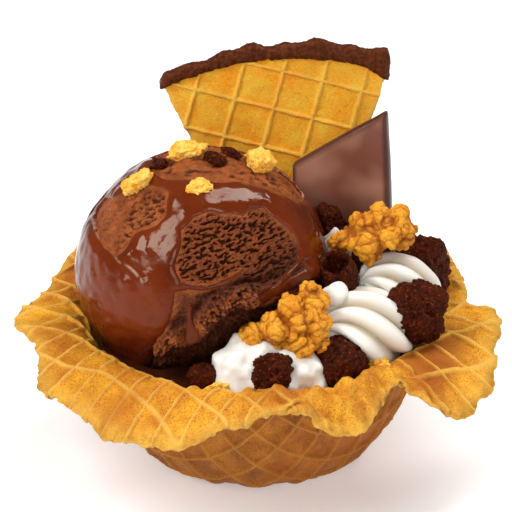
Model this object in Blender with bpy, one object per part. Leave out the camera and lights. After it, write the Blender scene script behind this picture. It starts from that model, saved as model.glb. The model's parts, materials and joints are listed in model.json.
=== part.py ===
"""Waffle bowl sundae.

A ruffled waffle bowl holds chocolate fudge and one big scoop of chocolate ice cream.
Whipped cream swirls, brownie pieces and crunchy golden clusters fill its right side.
A fan of wafer with a chocolate-dipped edge and a slab of chocolate stand at the back.

Metres, +Z up, front towards -Y. The origin is the centre of the bowl's flat foot.
"""

import math
import random

import bmesh
import bpy
import numpy as np
from mathutils import Euler, Matrix, Vector, noise

MM = 0.001
GAP = 0.35 * MM  # air between neighbouring pieces
CUTTER_SWELL = GAP * 1.15  # a little more, as flat faces cut corners
GOLDEN_ANGLE = math.pi * (3 - math.sqrt(5))  # spreads points evenly over a ball

# Bowl: a waffle disc pressed into a foot, a curved wall and a loose ruffled flange.
FOOT_RADIUS = 21.5 * MM
MOUTH_RADIUS = 49 * MM
MOUTH_HEIGHT = 38.5 * MM
WALL_POWER = 0.47  # how fast the wall turns upright above the foot
DIMPLE_THICKNESS = 1.8 * MM
RIDGE_THICKNESS = 3.2 * MM
WAFFLE_PITCH = 12 * MM
WAFFLE_TURN = math.radians(45)
FLANGE_WIDTH = 22 * MM
FLANGE_RISE = 5.5 * MM  # how far the wall's line runs on before the flange bends over
EDGE_KEEP = 2.0 * MM  # grid points nearer the disc's edge than this move onto it
# Each wave of the flange's edge: azimuth in degrees, then radius and height in millimetres.
FLANGE_WAVES = (
    (-177, 69, 40.5), (-164, 65.5, 39), (-149, 69.5, 32), (-141, 67, 31.5),
    (-125, 70, 28.4), (-110, 68.5, 29), (-97, 64.5, 35.5), (-83, 61.5, 40),
    (-65, 66, 31.2), (-47, 57.5, 38.5), (-36, 72, 27.5), (-26, 74, 31.5),
    (-15, 71, 39), (-4.5, 70, 43), (3, 60.5, 43), (9, 60, 47.5), (14, 61, 46), (24, 61, 49),
    (45, 65, 44), (62, 61, 50), (80, 66, 44), (98, 62, 50), (116, 66, 44),
    (132, 61, 49), (148, 58, 51), (166, 62, 41),
)

# Ice cream: a dome on a tilted axis with a torn collar where the scoop left the tub.
SCOOP_CENTRE = Vector((-15.6, 0, 57.4)) * MM
SCOOP_RADII = Vector((35.3, 34, 33)) * MM
SCOOP_AXIS = Vector((-0.54, 0.46, 0.70)).normalized()
COLLAR_POLAR = math.radians(127)
COLLAR_SPREAD = math.radians(6)
COLLAR_STANDS_OUT = 2.2 * MM
COLLAR_RAGGED = 0.9  # how much the collar's height comes and goes
TORN_BASE_DEPTH = 3.0 * MM
TORN_BASE_RAGGED = 0.5
RAGGED_SIZE = 7 * MM
FLAT_SHOULDER = Vector((-0.72, -0.1, 0.69)).normalized()
FLAT_SHOULDER_SPREAD = math.radians(32)
FLAT_SHOULDER_DEPTH = 2.6 * MM

# Fudge: level fill of the bowl with a mound that carries the toppings.
FUDGE_LEVEL = 37 * MM
FUDGE_CLEARANCE = 0.9 * MM
MOUND_CENTRE = Vector((25, 2, 34)) * MM
MOUND_RADII = Vector((18.5, 22, 26)) * MM

# Wafer fan: stands on its point in the fudge and leans back.
WAFER_POINT = Vector((11.5, 29.2, 18)) * MM
WAFER_LEAN = math.radians(8)
WAFER_RADIUS = 86.5 * MM
WAFER_LEFT = math.radians(26)
WAFER_RIGHT = math.radians(17.5)
WAFER_CUT_OFF = 12 * MM  # the missing tip
WAFER_PITCH = 11.5 * MM
WAFER_GRID_TURN = math.radians(-14.5)
DIP_INNER = WAFER_RADIUS + GAP
DIP_DEPTH = 5.2 * MM
DIP_THICKNESS = 4.4 * MM
DIP_WAVES = ((0.55 * MM, 21, 0), (0.4 * MM, 47, 1))  # height, waves along the edge, start
DIP_SQUARENESS = 0.7  # below 1 the section is squarer than an ellipse

# Chocolate slab: corners in its own plane, as (along, up) in millimetres.
SLAB_FOOT = Vector((11.4, 25.2, 46)) * MM
SLAB_YAW = math.radians(-18.6)
SLAB_LEAN = math.radians(6)
SLAB_THICKNESS = 4.6 * MM
SLAB_CORNERS = ((-1.2, 0), (29.5, 0), (25.6, 50.2), (-1.8, 30.5))
SLAB_BEVEL = 1.5 * MM

# Toppings: sizes of the knobs on a lump, as shares of its radius.
KNOB_SIZE = 0.55
SMALL_KNOB_SIZE = 0.28
CORE_SHARE = 0.8  # a cluster's core, as a share of its radii
KNOB_REACH = 0.76  # how far out the knobs' centres lie
KNOB_SIZES = (0.75, 1.2)  # smallest and largest knob
RESTING_SHARE = 0.6  # how much of a crumb's half thickness lies above the scoop
# The roll's outline from its hollow to its foot: share of the radius and of the length.
ROLL_PROFILE = ((0.30, 0.32), (0.42, 0.5), (0.75, 0.52), (1.0, 0.36), (1.05, 0.0), (0.95, -0.38), (0.7, -0.5))
ROLL_SIDES = 12

# Cream: the ridges fade out near the poles, and the peak is drawn out where the nozzle left it.
RIDGE_FADE = 1.6
PEAK_SPREAD = 0.35

# Colours are linear red, green and blue, with a roughness.
FINISHES = {
    "waffle": ((0.72, 0.36, 0.06), 0.75),
    "ice_cream": ((0.11, 0.03, 0.012), 0.6),
    "fudge": ((0.03, 0.007, 0.003), 0.25),
    "cream": ((0.9, 0.87, 0.78), 0.5),
    "brownie": ((0.05, 0.014, 0.007), 0.7),
    "cluster": ((0.8, 0.3, 0.02), 0.7),
    "crumb": ((0.9, 0.55, 0.1), 0.7),
    "chocolate": ((0.08, 0.025, 0.014), 0.35),
}


def clear_scene():
    for obj in list(bpy.data.objects):
        bpy.data.objects.remove(obj)


def material(kind):
    """The shared material of one kind of food, made on first use."""
    found = bpy.data.materials.get(kind)
    if found:
        return found
    colour, roughness = FINISHES[kind]
    made = bpy.data.materials.new(kind)
    made.use_nodes = True
    shader = made.node_tree.nodes["Principled BSDF"]
    shader.inputs["Base Color"].default_value = (*colour, 1)
    shader.inputs["Roughness"].default_value = roughness
    shader.inputs["Metallic"].default_value = 0
    return made


def new_object(name, bm, kind, smooth_angle=40):
    """Turns a bmesh into a named, shaded object."""
    mesh = bpy.data.meshes.new(name)
    bmesh.ops.recalc_face_normals(bm, faces=bm.faces)
    bm.to_mesh(mesh)
    bm.free()
    mesh.shade_smooth()
    mesh.set_sharp_from_angle(angle=math.radians(smooth_angle))
    obj = bpy.data.objects.new(name, mesh)
    obj.data.materials.append(material(kind))
    bpy.context.scene.collection.objects.link(obj)
    return obj


def apply_modifiers(obj):
    """Bakes an object's modifiers into its mesh."""
    bpy.context.view_layer.update()
    graph = bpy.context.evaluated_depsgraph_get()
    baked = bpy.data.meshes.new_from_object(obj.evaluated_get(graph))
    obj.modifiers.clear()
    obj.data = baked


def keep_largest_island(obj):
    """Drops the scraps that a cut leaves loose."""
    bm = bmesh.new()
    bm.from_mesh(obj.data)
    left = set(bm.verts)
    islands = []
    while left:
        island = set()
        edge_of_search = [left.pop()]
        while edge_of_search:
            vert = edge_of_search.pop()
            island.add(vert)
            near = {edge.other_vert(vert) for edge in vert.link_edges} & left
            left -= near
            edge_of_search.extend(near)
        islands.append(island)
    islands.sort(key=len)
    for scrap in islands[:-1]:
        bmesh.ops.delete(bm, geom=list(scrap), context="VERTS")
    bm.to_mesh(obj.data)
    bm.free()


def swollen_copy(mesh, by):
    """A hidden copy of a piece whose skin is pushed outwards, to cut its neighbour with a gap."""
    bm = bmesh.new()
    bm.from_mesh(mesh)
    bmesh.ops.triangulate(bm, faces=bm.faces)
    bm.normal_update()
    moved = [vert.co + vert.normal * by for vert in bm.verts]
    for vert, place in zip(bm.verts, moved):
        vert.co = place
    pushed = bpy.data.meshes.new("cutter")
    bm.to_mesh(pushed)
    bm.free()
    cutter = bpy.data.objects.new("cutter", pushed)
    bpy.context.scene.collection.objects.link(cutter)
    return cutter


def triangulate(obj):
    """Splits every face, because a cut leaves faults where a face isn't flat."""
    bm = bmesh.new()
    bm.from_mesh(obj.data)
    bmesh.ops.triangulate(bm, faces=bm.faces)
    bm.to_mesh(obj.data)
    bm.free()


def mesh_box(mesh):
    """Lowest and highest corner of a mesh."""
    points = np.array([vert.co for vert in mesh.vertices])
    return points.min(axis=0), points.max(axis=0)


def boxes_meet(a, b, margin):
    """Whether two meshes' boxes come within a margin of each other."""
    low_a, high_a = mesh_box(a)
    low_b, high_b = mesh_box(b)
    return bool(np.all(low_a - margin < high_b) and np.all(low_b - margin < high_a))


def carve(obj, shapes):
    """Cuts a piece back from every shape that it would touch, one shape at a time."""
    for shape in shapes:
        if not boxes_meet(obj.data, shape, GAP):
            continue
        cutter = swollen_copy(shape, CUTTER_SWELL)
        cut = obj.modifiers.new("cut", "BOOLEAN")
        cut.operation = "DIFFERENCE"
        cut.object = cutter
        apply_modifiers(obj)
        bpy.data.objects.remove(cutter)
    keep_largest_island(obj)
    triangulate(obj)


def ring_solid(name, kind, polars, around, place, smooth_angle=40):
    """A closed solid skinned over rings. place(polar, turn) gives each point, poles included."""
    bm = bmesh.new()
    first = bm.verts.new(place(0.0, 0.0))
    last = bm.verts.new(place(math.pi, 0.0))
    step = 2 * math.pi / around
    rings = [[bm.verts.new(place(polar, turn * step)) for turn in range(around)] for polar in polars]
    for turn in range(around):
        after = (turn + 1) % around
        bm.faces.new((first, rings[0][turn], rings[0][after]))
        bm.faces.new((last, rings[-1][after], rings[-1][turn]))
        for upper, lower in zip(rings, rings[1:]):
            bm.faces.new((upper[turn], lower[turn], lower[after], upper[after]))
    return new_object(name, bm, kind, smooth_angle)


def unit_from(polar, turn):
    """Unit vector at an angle from +Z, turned about it."""
    flat = math.sin(polar)
    return Vector((flat * math.cos(turn), flat * math.sin(turn), math.cos(polar)))


def tilted(tilt):
    """Rotation by angles about X, Y and Z, in degrees."""
    return Euler([math.radians(angle) for angle in tilt]).to_matrix()


def frame_towards(axis):
    """Rotation whose local +Z is the given axis."""
    return Vector(axis).normalized().to_track_quat("Z", "Y").to_matrix()


# Bowl


def wave_edge(azimuth):
    """Radius and height of the flange's edge at each azimuth, eased from one wave to the next."""
    waves = np.array(FLANGE_WAVES, float)
    degrees = np.degrees(azimuth)
    start = waves[-1] - (360, 0, 0)
    end = waves[0] + (360, 0, 0)
    stations = np.vstack([start, waves, end])
    index = np.clip(np.searchsorted(stations[:, 0], degrees) - 1, 0, len(stations) - 2)
    low, high = stations[index], stations[index + 1]
    share = (degrees - low[:, 0]) / (high[:, 0] - low[:, 0])
    eased = (1 - np.cos(math.pi * share)) / 2
    edge = low + (high - low) * eased[:, None]
    return edge[:, 1] * MM, edge[:, 2] * MM


def wall_line(points=200):
    """Radius and height along the wall from the centre of the foot to the mouth, with arc length."""
    heights = MOUTH_HEIGHT * np.linspace(0, 1, points) ** 2
    radii = FOOT_RADIUS + (MOUTH_RADIUS - FOOT_RADIUS) * (heights / MOUTH_HEIGHT) ** WALL_POWER
    radii = np.concatenate([[0], radii])
    heights = np.concatenate([[0], heights])
    steps = np.hypot(np.diff(radii), np.diff(heights))
    return radii, heights, np.concatenate([[0], np.cumsum(steps)])


def press_disc(p, q):
    """Presses points of the flat waffle disc into the bowl's middle surface."""
    line_radii, line_heights, line_lengths = wall_line()
    wall_length = line_lengths[-1]
    flat = np.hypot(p, q)
    azimuth = np.arctan2(q, p) + WAFFLE_TURN
    azimuth = (azimuth + math.pi) % (2 * math.pi) - math.pi
    radius = np.interp(flat, line_lengths, line_radii)
    height = np.interp(flat, line_lengths, line_heights)
    edge_radius, edge_height = wave_edge(azimuth)
    slope = WALL_POWER * (MOUTH_RADIUS - FOOT_RADIUS) / MOUTH_HEIGHT
    rise = FLANGE_RISE / math.hypot(slope, 1)
    t = np.clip((flat - wall_length) / FLANGE_WIDTH, 0, 1)
    start, middle, end = (1 - t) ** 2, 2 * t * (1 - t), t**2
    flange_radius = start * MOUTH_RADIUS + middle * (MOUTH_RADIUS + rise * slope) + end * edge_radius
    flange_height = start * MOUTH_HEIGHT + middle * (MOUTH_HEIGHT + rise) + end * edge_height
    on_flange = flat > wall_length
    radius = np.where(on_flange, flange_radius, radius)
    height = np.where(on_flange, flange_height, height)
    lifted = height + DIMPLE_THICKNESS / 2
    return np.stack([radius * np.cos(azimuth), radius * np.sin(azimuth), lifted], axis=1)


def ridge_share(vert, pitch):
    """1 on a ridge of the waffle grid and 0 in the middle of a dimple."""
    half = pitch / 2
    return float(round(vert.x / half) % 2 == 0 or round(vert.y / half) % 2 == 0)


def waffle_sheet(name, radius_in_cells, pitch):
    """A flat grid with a line on every ridge and one through every row of dimples."""
    half = pitch / 2
    cells = 2 * radius_in_cells
    bm = bmesh.new()
    bmesh.ops.create_grid(bm, x_segments=cells, y_segments=cells, size=radius_in_cells * half)
    obj = new_object(name, bm, "waffle", 10)
    ridges = obj.vertex_groups.new(name="ridges")
    for vert in obj.data.vertices:
        ridges.add([vert.index], ridge_share(vert.co, pitch), "REPLACE")
    return obj


def thicken(obj):
    """Gives a waffle sheet its thickness, more on the ridges than in the dimples."""
    solidify = obj.modifiers.new("thickness", "SOLIDIFY")
    solidify.thickness = RIDGE_THICKNESS
    solidify.offset = 0
    solidify.vertex_group = "ridges"
    solidify.thickness_vertex_group = DIMPLE_THICKNESS / RIDGE_THICKNESS
    apply_modifiers(obj)


def waffle_bowl():
    disc_radius = wall_line()[2][-1] + FLANGE_WIDTH
    lines = math.ceil(disc_radius / (WAFFLE_PITCH / 2)) + 1
    obj = waffle_sheet("waffle_bowl", lines, WAFFLE_PITCH)
    flat = np.array([vert.co for vert in obj.data.vertices])
    distance = np.hypot(flat[:, 0], flat[:, 1])
    inside = distance < disc_radius - EDGE_KEEP
    bm = bmesh.new()
    bm.from_mesh(obj.data)
    outside = [face for face in bm.faces if not any(inside[vert.index] for vert in face.verts)]
    bmesh.ops.delete(bm, geom=outside, context="FACES")
    bm.to_mesh(obj.data)
    bm.free()
    flat = np.array([vert.co for vert in obj.data.vertices])
    distance = np.hypot(flat[:, 0], flat[:, 1])
    outer = distance >= disc_radius - EDGE_KEEP
    flat[outer] *= (disc_radius / distance[outer])[:, None]
    on_foot = [int(index) for index in np.flatnonzero(distance < FOOT_RADIUS + WAFFLE_PITCH / 2)]
    obj.vertex_groups["ridges"].add(on_foot, 0.0, "REPLACE")
    pressed = press_disc(flat[:, 0], flat[:, 1])
    obj.data.vertices.foreach_set("co", pressed.astype(np.float32).ravel())
    thicken(obj)
    return obj


# Ice cream


def rough(place, scale, seed):
    """Smooth noise between -1 and 1 at a place, for features of the given size."""
    return noise.noise(Vector(place) / scale + Vector((seed * 7.3, seed * 3.1, seed * 1.7)))


def scoop_point(direction):
    """A point of the scoop's skin in a world direction from its centre."""
    polar = direction.angle(SCOOP_AXIS)
    collar = math.exp(-(((polar - COLLAR_POLAR) / COLLAR_SPREAD) ** 2))
    torn = min(max((polar - COLLAR_POLAR) / COLLAR_SPREAD, 0), 1)
    smooth = SCOOP_CENTRE + Vector(a * b for a, b in zip(direction, SCOOP_RADII))
    ragged = rough(smooth, RAGGED_SIZE, 1)
    out = collar * COLLAR_STANDS_OUT * (0.7 + COLLAR_RAGGED * ragged)
    out -= torn * TORN_BASE_DEPTH * (1 + TORN_BASE_RAGGED * ragged)
    off_shoulder = direction.angle(FLAT_SHOULDER) / FLAT_SHOULDER_SPREAD
    out -= FLAT_SHOULDER_DEPTH * math.exp(-(off_shoulder**2))
    return smooth + direction * out


def ice_cream():
    turn_frame = frame_towards(SCOOP_AXIS)
    coarse = [math.radians(angle) for angle in range(10, 115, 10)]
    fine = [COLLAR_POLAR + COLLAR_SPREAD * step for step in (-1.7, -0.8, -0.2, 0.5, 1.2, 2.2)]
    below = [math.radians(angle) for angle in (150, 160, 170)]

    def place(polar, turn):
        return scoop_point(turn_frame @ unit_from(polar, turn))

    return ring_solid("ice_cream_scoop", "ice_cream", coarse + fine + below, 32, place)


# Whipped cream


def cream_swirl(name, centre, radii, towards, ridges, twist, depth, peak=0.0, rings=11):
    """A piped swirl: ridges run from its peak round to its back, turning as they go."""
    turn_frame = frame_towards(towards)
    centre = Vector(centre) * MM
    around = ridges * 2

    def place(polar, turn):
        wave = abs(math.cos(ridges / 2 * (turn + twist * polar)))
        fade = min(math.sin(polar) * RIDGE_FADE, 1)
        swell = 1 - depth * (1 - wave) * fade
        local = unit_from(polar, turn)
        local.z *= 1 + peak * math.exp(-((polar / PEAK_SPREAD) ** 2))
        return centre + turn_frame @ Vector(a * b * swell * MM for a, b in zip(local, radii))

    polars = [math.pi * (step + 1) / (rings + 1) for step in range(rings)]
    return ring_solid(name, "cream", polars, around, place)


# Brownie, clusters and crumbs


def lump(name, kind, centre, radii, tilt=(0, 0, 0), seed=1, rough_share=0.16, detail=3):
    """An uneven rounded lump: a ball stretched to its radii, with knobs and hollows."""
    bm = bmesh.new()
    bmesh.ops.create_icosphere(bm, subdivisions=detail, radius=1)
    turn = tilted(tilt)
    centre = Vector(centre) * MM
    for vert in bm.verts:
        knobs = rough(vert.co, KNOB_SIZE, seed) + 0.5 * rough(vert.co, SMALL_KNOB_SIZE, seed + 3)
        stretched = Vector(a * b * MM for a, b in zip(vert.co * (1 + rough_share * knobs), radii))
        vert.co = centre + turn @ stretched
    return new_object(name, bm, kind)


def brownie_roll(name, centre, radius, length, tilt):
    """A short rolled piece with a hollow in its upper end."""
    bm = bmesh.new()
    turn = tilted(tilt)
    centre = Vector(centre) * MM

    def place(across, along, angle):
        uneven = 1 + 0.1 * rough((math.cos(angle), math.sin(angle), along), 0.6, 5)
        out = across * uneven * radius
        return centre + turn @ Vector((out * math.cos(angle), out * math.sin(angle), along * length)) * MM

    step = 2 * math.pi / ROLL_SIDES
    rings = []
    for across, along in ROLL_PROFILE:
        rings.append([bm.verts.new(place(across, along, side * step)) for side in range(ROLL_SIDES)])
    pit = bm.verts.new(place(0, 0.1, 0))
    foot = bm.verts.new(place(0, -0.5, 0))
    for side in range(ROLL_SIDES):
        after = (side + 1) % ROLL_SIDES
        bm.faces.new((pit, rings[0][side], rings[0][after]))
        bm.faces.new((foot, rings[-1][after], rings[-1][side]))
        for upper, lower in zip(rings, rings[1:]):
            bm.faces.new((upper[side], lower[side], lower[after], upper[after]))
    return new_object(name, bm, "brownie")


def crunchy_cluster(name, centre, radii, tilt, knobs, knob_radius, seed, extra=()):
    """Puffed flakes stuck together: a core ellipsoid with knobs of different sizes all over it."""
    draw = random.Random(seed)
    turn = tilted(tilt)
    middle = Vector(centre)
    balls = []
    for index in range(knobs):
        polar = math.acos(1 - 2 * (index + 0.5) / knobs)
        unit = unit_from(polar, index * GOLDEN_ANGLE + draw.uniform(-0.3, 0.3))
        knob = turn @ Vector(a * b * KNOB_REACH for a, b in zip(unit, radii))
        balls.append((knob, knob_radius * draw.uniform(*KNOB_SIZES)))
    balls += [(Vector(place) - middle, radius) for place, radius in extra]

    def place(polar, turned):
        inner = unit_from(polar, turned)
        out = turn @ inner
        reach = CORE_SHARE / math.sqrt(sum((a / b) ** 2 for a, b in zip(inner, radii)))
        for ball, radius in balls:
            along = ball.dot(out)
            miss = ball.length_squared - along**2
            if along > 0 and miss < radius**2:
                reach = max(reach, along + math.sqrt(radius**2 - miss))
        return (middle + out * reach) * MM

    polars = [math.pi * (step + 1) / 11 for step in range(10)]
    return ring_solid(name, "cluster", polars, 17, place)


def on_scoop(azimuth, elevation):
    """Point of the scoop's skin and the direction out of it, from angles in degrees."""
    out = unit_from(math.radians(90 - elevation), math.radians(azimuth))
    return scoop_point(out), out


def scoop_topping(name, kind, azimuth, elevation, radii, spin, seed):
    """A bit lying on the scoop with its thin way along the scoop's own direction."""
    place, out = on_scoop(azimuth, elevation)
    lie = (frame_towards(out) @ Matrix.Rotation(math.radians(spin), 3, "Z")).to_euler()
    centre = place / MM + out * radii[2] * RESTING_SHARE
    lie_degrees = [math.degrees(angle) for angle in lie]
    return lump(name, kind, centre, radii, lie_degrees, seed, rough_share=0.2, detail=2)


# Wafer fan and chocolate slab


def wafer_frame():
    """Places the fan's plane: local X runs along it, Y up it and Z towards the front."""
    lean = Matrix.Rotation(math.radians(90) - WAFER_LEAN, 4, "X")
    return Matrix.Translation(WAFER_POINT) @ lean


def fan_outline(radius, steps=14):
    """Corners of the fan in its own plane, its tip cut off."""
    angles = [-WAFER_LEFT + (WAFER_LEFT + WAFER_RIGHT) * step / steps for step in range(steps + 1)]
    arc = [Vector((radius * math.sin(angle), radius * math.cos(angle))) for angle in angles]
    right = Vector((math.sin(WAFER_RIGHT), math.cos(WAFER_RIGHT))) * WAFER_CUT_OFF
    left = Vector((math.sin(-WAFER_LEFT), math.cos(WAFER_LEFT))) * WAFER_CUT_OFF
    return [*arc, right, left]


def prism(name, corners, depth, kind):
    """A straight prism over a flat outline, centred on its plane."""
    bm = bmesh.new()
    face = bm.faces.new([bm.verts.new((x, y, -depth / 2)) for x, y in corners])
    grown = bmesh.ops.extrude_face_region(bm, geom=[face])
    tops = [part for part in grown["geom"] if isinstance(part, bmesh.types.BMVert)]
    bmesh.ops.translate(bm, verts=tops, vec=(0, 0, depth))
    return new_object(name, bm, kind)


def wafer_fan():
    cells = math.ceil(WAFER_RADIUS / (WAFER_PITCH / 2)) + 2
    obj = waffle_sheet("wafer_fan", cells, WAFER_PITCH)
    obj.data.transform(Matrix.Rotation(WAFER_GRID_TURN, 4, "Z"))
    thicken(obj)
    outline = prism("outline", fan_outline(WAFER_RADIUS), 3 * RIDGE_THICKNESS, "waffle")
    trim = obj.modifiers.new("outline", "BOOLEAN")
    trim.operation = "INTERSECT"
    trim.object = outline
    apply_modifiers(obj)
    bpy.data.objects.remove(outline)
    obj.data.transform(wafer_frame())
    return obj


def dipped_edge():
    """Chocolate over the fan's curved edge, thicker to the right and wavy on top."""
    bm = bmesh.new()
    stations, sides = 20, 6
    rings = []
    for station in range(stations + 1):
        share = station / stations
        angle = -WAFER_LEFT + (WAFER_LEFT + WAFER_RIGHT) * share
        wave = sum(height * math.sin(share * count + start) for height, count, start in DIP_WAVES)
        ends = min(1, 5 * math.sqrt(max(share * (1 - share), 0.004)))
        depth = (DIP_DEPTH * (0.72 + 0.4 * share) + wave) * ends
        middle = DIP_INNER + depth / 2
        ring = []
        for side in range(sides):
            turn = 2 * math.pi * (side + 0.5) / sides
            up = math.copysign(abs(math.sin(turn)) ** DIP_SQUARENESS, math.sin(turn)) * depth / 2
            out = math.copysign(abs(math.cos(turn)) ** DIP_SQUARENESS, math.cos(turn)) * ends
            out *= DIP_THICKNESS / 2
            reach = middle + up
            ring.append(bm.verts.new((reach * math.sin(angle), reach * math.cos(angle), out)))
        rings.append(ring)
    for ring, after in zip(rings, rings[1:]):
        for side in range(sides):
            beside = (side + 1) % sides
            bm.faces.new((ring[side], ring[beside], after[beside], after[side]))
    bm.faces.new(rings[0])
    bm.faces.new(rings[-1])
    obj = new_object("dipped_edge", bm, "chocolate")
    obj.data.transform(wafer_frame())
    return obj


def chocolate_slab():
    corners = [(along * MM, up * MM) for along, up in SLAB_CORNERS]
    obj = prism("chocolate_slab", corners, SLAB_THICKNESS, "chocolate")
    soften = obj.modifiers.new("soft_edges", "BEVEL")
    soften.width = SLAB_BEVEL
    soften.segments = 2
    apply_modifiers(obj)
    stand = Matrix.Rotation(SLAB_YAW, 4, "Z") @ Matrix.Rotation(math.radians(90) - SLAB_LEAN, 4, "X")
    obj.data.transform(Matrix.Translation(SLAB_FOOT) @ stand)
    return obj


# Fudge


def fudge_fill():
    """Fudge up to its level in the bowl, fused with the mound under the toppings."""
    clearance = RIDGE_THICKNESS / 2 + FUDGE_CLEARANCE
    floor = DIMPLE_THICKNESS / 2 + clearance
    steps = 4
    around = 24
    turn = 2 * math.pi / around
    bm = bmesh.new()
    rings = []
    for step in range(steps + 1):
        height = floor + (FUDGE_LEVEL - floor) * step / steps
        climbed = (height - clearance / 2) / MOUTH_HEIGHT
        radius = FOOT_RADIUS + (MOUTH_RADIUS - FOOT_RADIUS) * climbed**WALL_POWER - clearance
        angles = [side * turn for side in range(around)]
        ring = [(radius * math.cos(angle), radius * math.sin(angle), height) for angle in angles]
        rings.append([bm.verts.new(point) for point in ring])
    for lower, upper in zip(rings, rings[1:]):
        for side in range(around):
            after = (side + 1) % around
            bm.faces.new((lower[side], lower[after], upper[after], upper[side]))
    bm.faces.new(rings[0])
    bm.faces.new(rings[-1])
    obj = new_object("fudge_fill", bm, "fudge")
    centre, radii = MOUND_CENTRE / MM, MOUND_RADII / MM
    mound = lump("mound", "fudge", centre, radii, seed=9, rough_share=0.04, detail=2)
    join = obj.modifiers.new("join", "BOOLEAN")
    join.operation = "UNION"
    join.object = mound
    apply_modifiers(obj)
    bpy.data.objects.remove(mound)
    return obj


def toppings():
    """Brownie, clusters and crumbs, from the front of the bowl to its back, then those on the scoop."""
    return [
        lump("brownie_ball", "brownie", (23.4, -32.6, 41.9), (8.0, 7.8, 8.2), seed=11, rough_share=0.07),
        brownie_roll("brownie_roll", (23.4, -12, 58.9), 5.1, 12.5, (22, -10, 0)),
        lump("brownie_bite", "brownie", (4.2, -44.6, 44.4), (5.9, 4.9, 5.4), seed=4, rough_share=0.2),
        lump("brownie_right", "brownie", (45.4, -18.8, 50.9), (8.8, 7.3, 7.6), (0, 25, 20), 22, 0.22),
        lump("brownie_far", "brownie", (47.3, 5, 53.0), (7.6, 8, 9.2), (0, -20, 0), 31, 0.2),
        lump("brownie_behind", "brownie", (20.4, 12, 64.4), (5.0, 4.6, 5.4), (0, 0, 0), 15, 0.2, 2),
        lump("brownie_slab_side", "brownie", (30.2, 7.8, 64.5), (4.6, 4.2, 5.4), (0, 0, 0), 17, 0.18, 2),
        lump("brownie_rear", "brownie", (9, 42.5, 42.5), (6.5, 5.2, 5.6), (0, 0, 0), 19, 0.2, 2),
        lump("chocolate_bean", "brownie", (-14.7, -38.2, 40.9), (4.4, 3.6, 4.0), (0, 0, 0), 6, 0.08, 2),
        crunchy_cluster(
            "cluster_front", (8.0, -31.6, 51.6), (12.2, 6.6, 7.6), (0, -27, 0), 11, 3.9, 3,
            extra=(((13.6, -26.8, 60.0), 3.2), ((-2.2, -32.6, 47.8), 3.4)),
        ),
        crunchy_cluster(
            "cluster_back", (34.3, -2, 65.6), (12.4, 7.4, 6.2), (0, -12, 0), 12, 3.7, 8,
            extra=(((24.5, -3.5, 63.6), 3.4), ((30.0, -6.5, 59.2), 3.6)),
        ),
        scoop_topping("crumb_left", "crumb", -165, 57, (4.6, 2.8, 2.6), 65, 41),
        scoop_topping("crumb_top", "crumb", 130, 80, (5.4, 3.2, 2.6), -15, 42),
        scoop_topping("crumb_right", "crumb", 8, 63, (4.4, 3.8, 3.4), 30, 43),
        scoop_topping("crumb_small", "crumb", -92, 66, (3.5, 2.3, 2.0), 10, 44),
        scoop_topping("flake_left", "brownie", 170, 70, (4.0, 2.4, 1.3), 20, 51),
        scoop_topping("flake_middle", "brownie", -4, 84, (3.8, 2.8, 1.4), 60, 52),
        scoop_topping("flake_back", "brownie", 40, 72, (5.0, 2.2, 1.1), -20, 53),
        lump("crumb_front", "crumb", (-10.6, -43.2, 39.6), (4.2, 2.0, 1.9), (0, -12, 0), 45, 0.2, 2),
        lump("crumb_side", "crumb", (33.6, -28.6, 39.2), (3.2, 2.2, 2.6), (0, 0, 0), 46, 0.2, 2),
    ]


def whipped_cream():
    """Each swirl: centre, radii, way that its peak points, ridges, twist, ridge depth, peak, rings."""
    swirls = (
        ("cream_middle", (31.5, -20, 45.1), (13.2, 11.0, 12.6), (-0.85, -0.42, 0.3), 10, 0.5, 0.16, 0.1, 8),
        ("cream_front", (3.4, -34.8, 41.4), (10.5, 15.5, 10.0), (-0.55, -0.1, 0.8), 8, 0.3, 0.10, 0.3, 8),
        ("cream_back", (40, -3.5, 50.9), (11.5, 11.0, 13.5), (-0.75, -0.5, 0.45), 9, 0.5, 0.15, 0.1, 8),
        ("cream_peak", (22.4, 2.5, 60.5), (4.8, 4.8, 5.6), (0, 0, 1), 7, 0.4, 0.12, 0.35, 7),
        ("cream_rear", (-14, 39.4, 42.2), (8.6, 8.0, 7.6), (0, 0, 1), 8, 0.6, 0.14, 0.4, 7),
    )
    return [cream_swirl(*swirl) for swirl in swirls]


def build():
    clear_scene()
    shapes = []
    for piece in (waffle_bowl(), wafer_fan(), dipped_edge(), chocolate_slab(), ice_cream()):
        triangulate(piece)
        shapes.append(piece.data.copy())
    for piece in (fudge_fill(), *toppings(), *whipped_cream()):
        triangulate(piece)
        whole = piece.data.copy()
        carve(piece, shapes)
        shapes.append(whole)


build()
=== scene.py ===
# %% [markdown]
# # Waffle bowl sundae
#
# A ruffled waffle bowl holds one big scoop of chocolate ice cream under a poured chocolate sauce.
# Whipped cream, brownie, crunchy golden clusters and crumbs fill its right side, and a fan of wafer
# with a dipped edge stands behind with a slab of chocolate. The lesson builds each of these as its
# own mesh, on top of a plain model that already has the true sizes.

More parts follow.
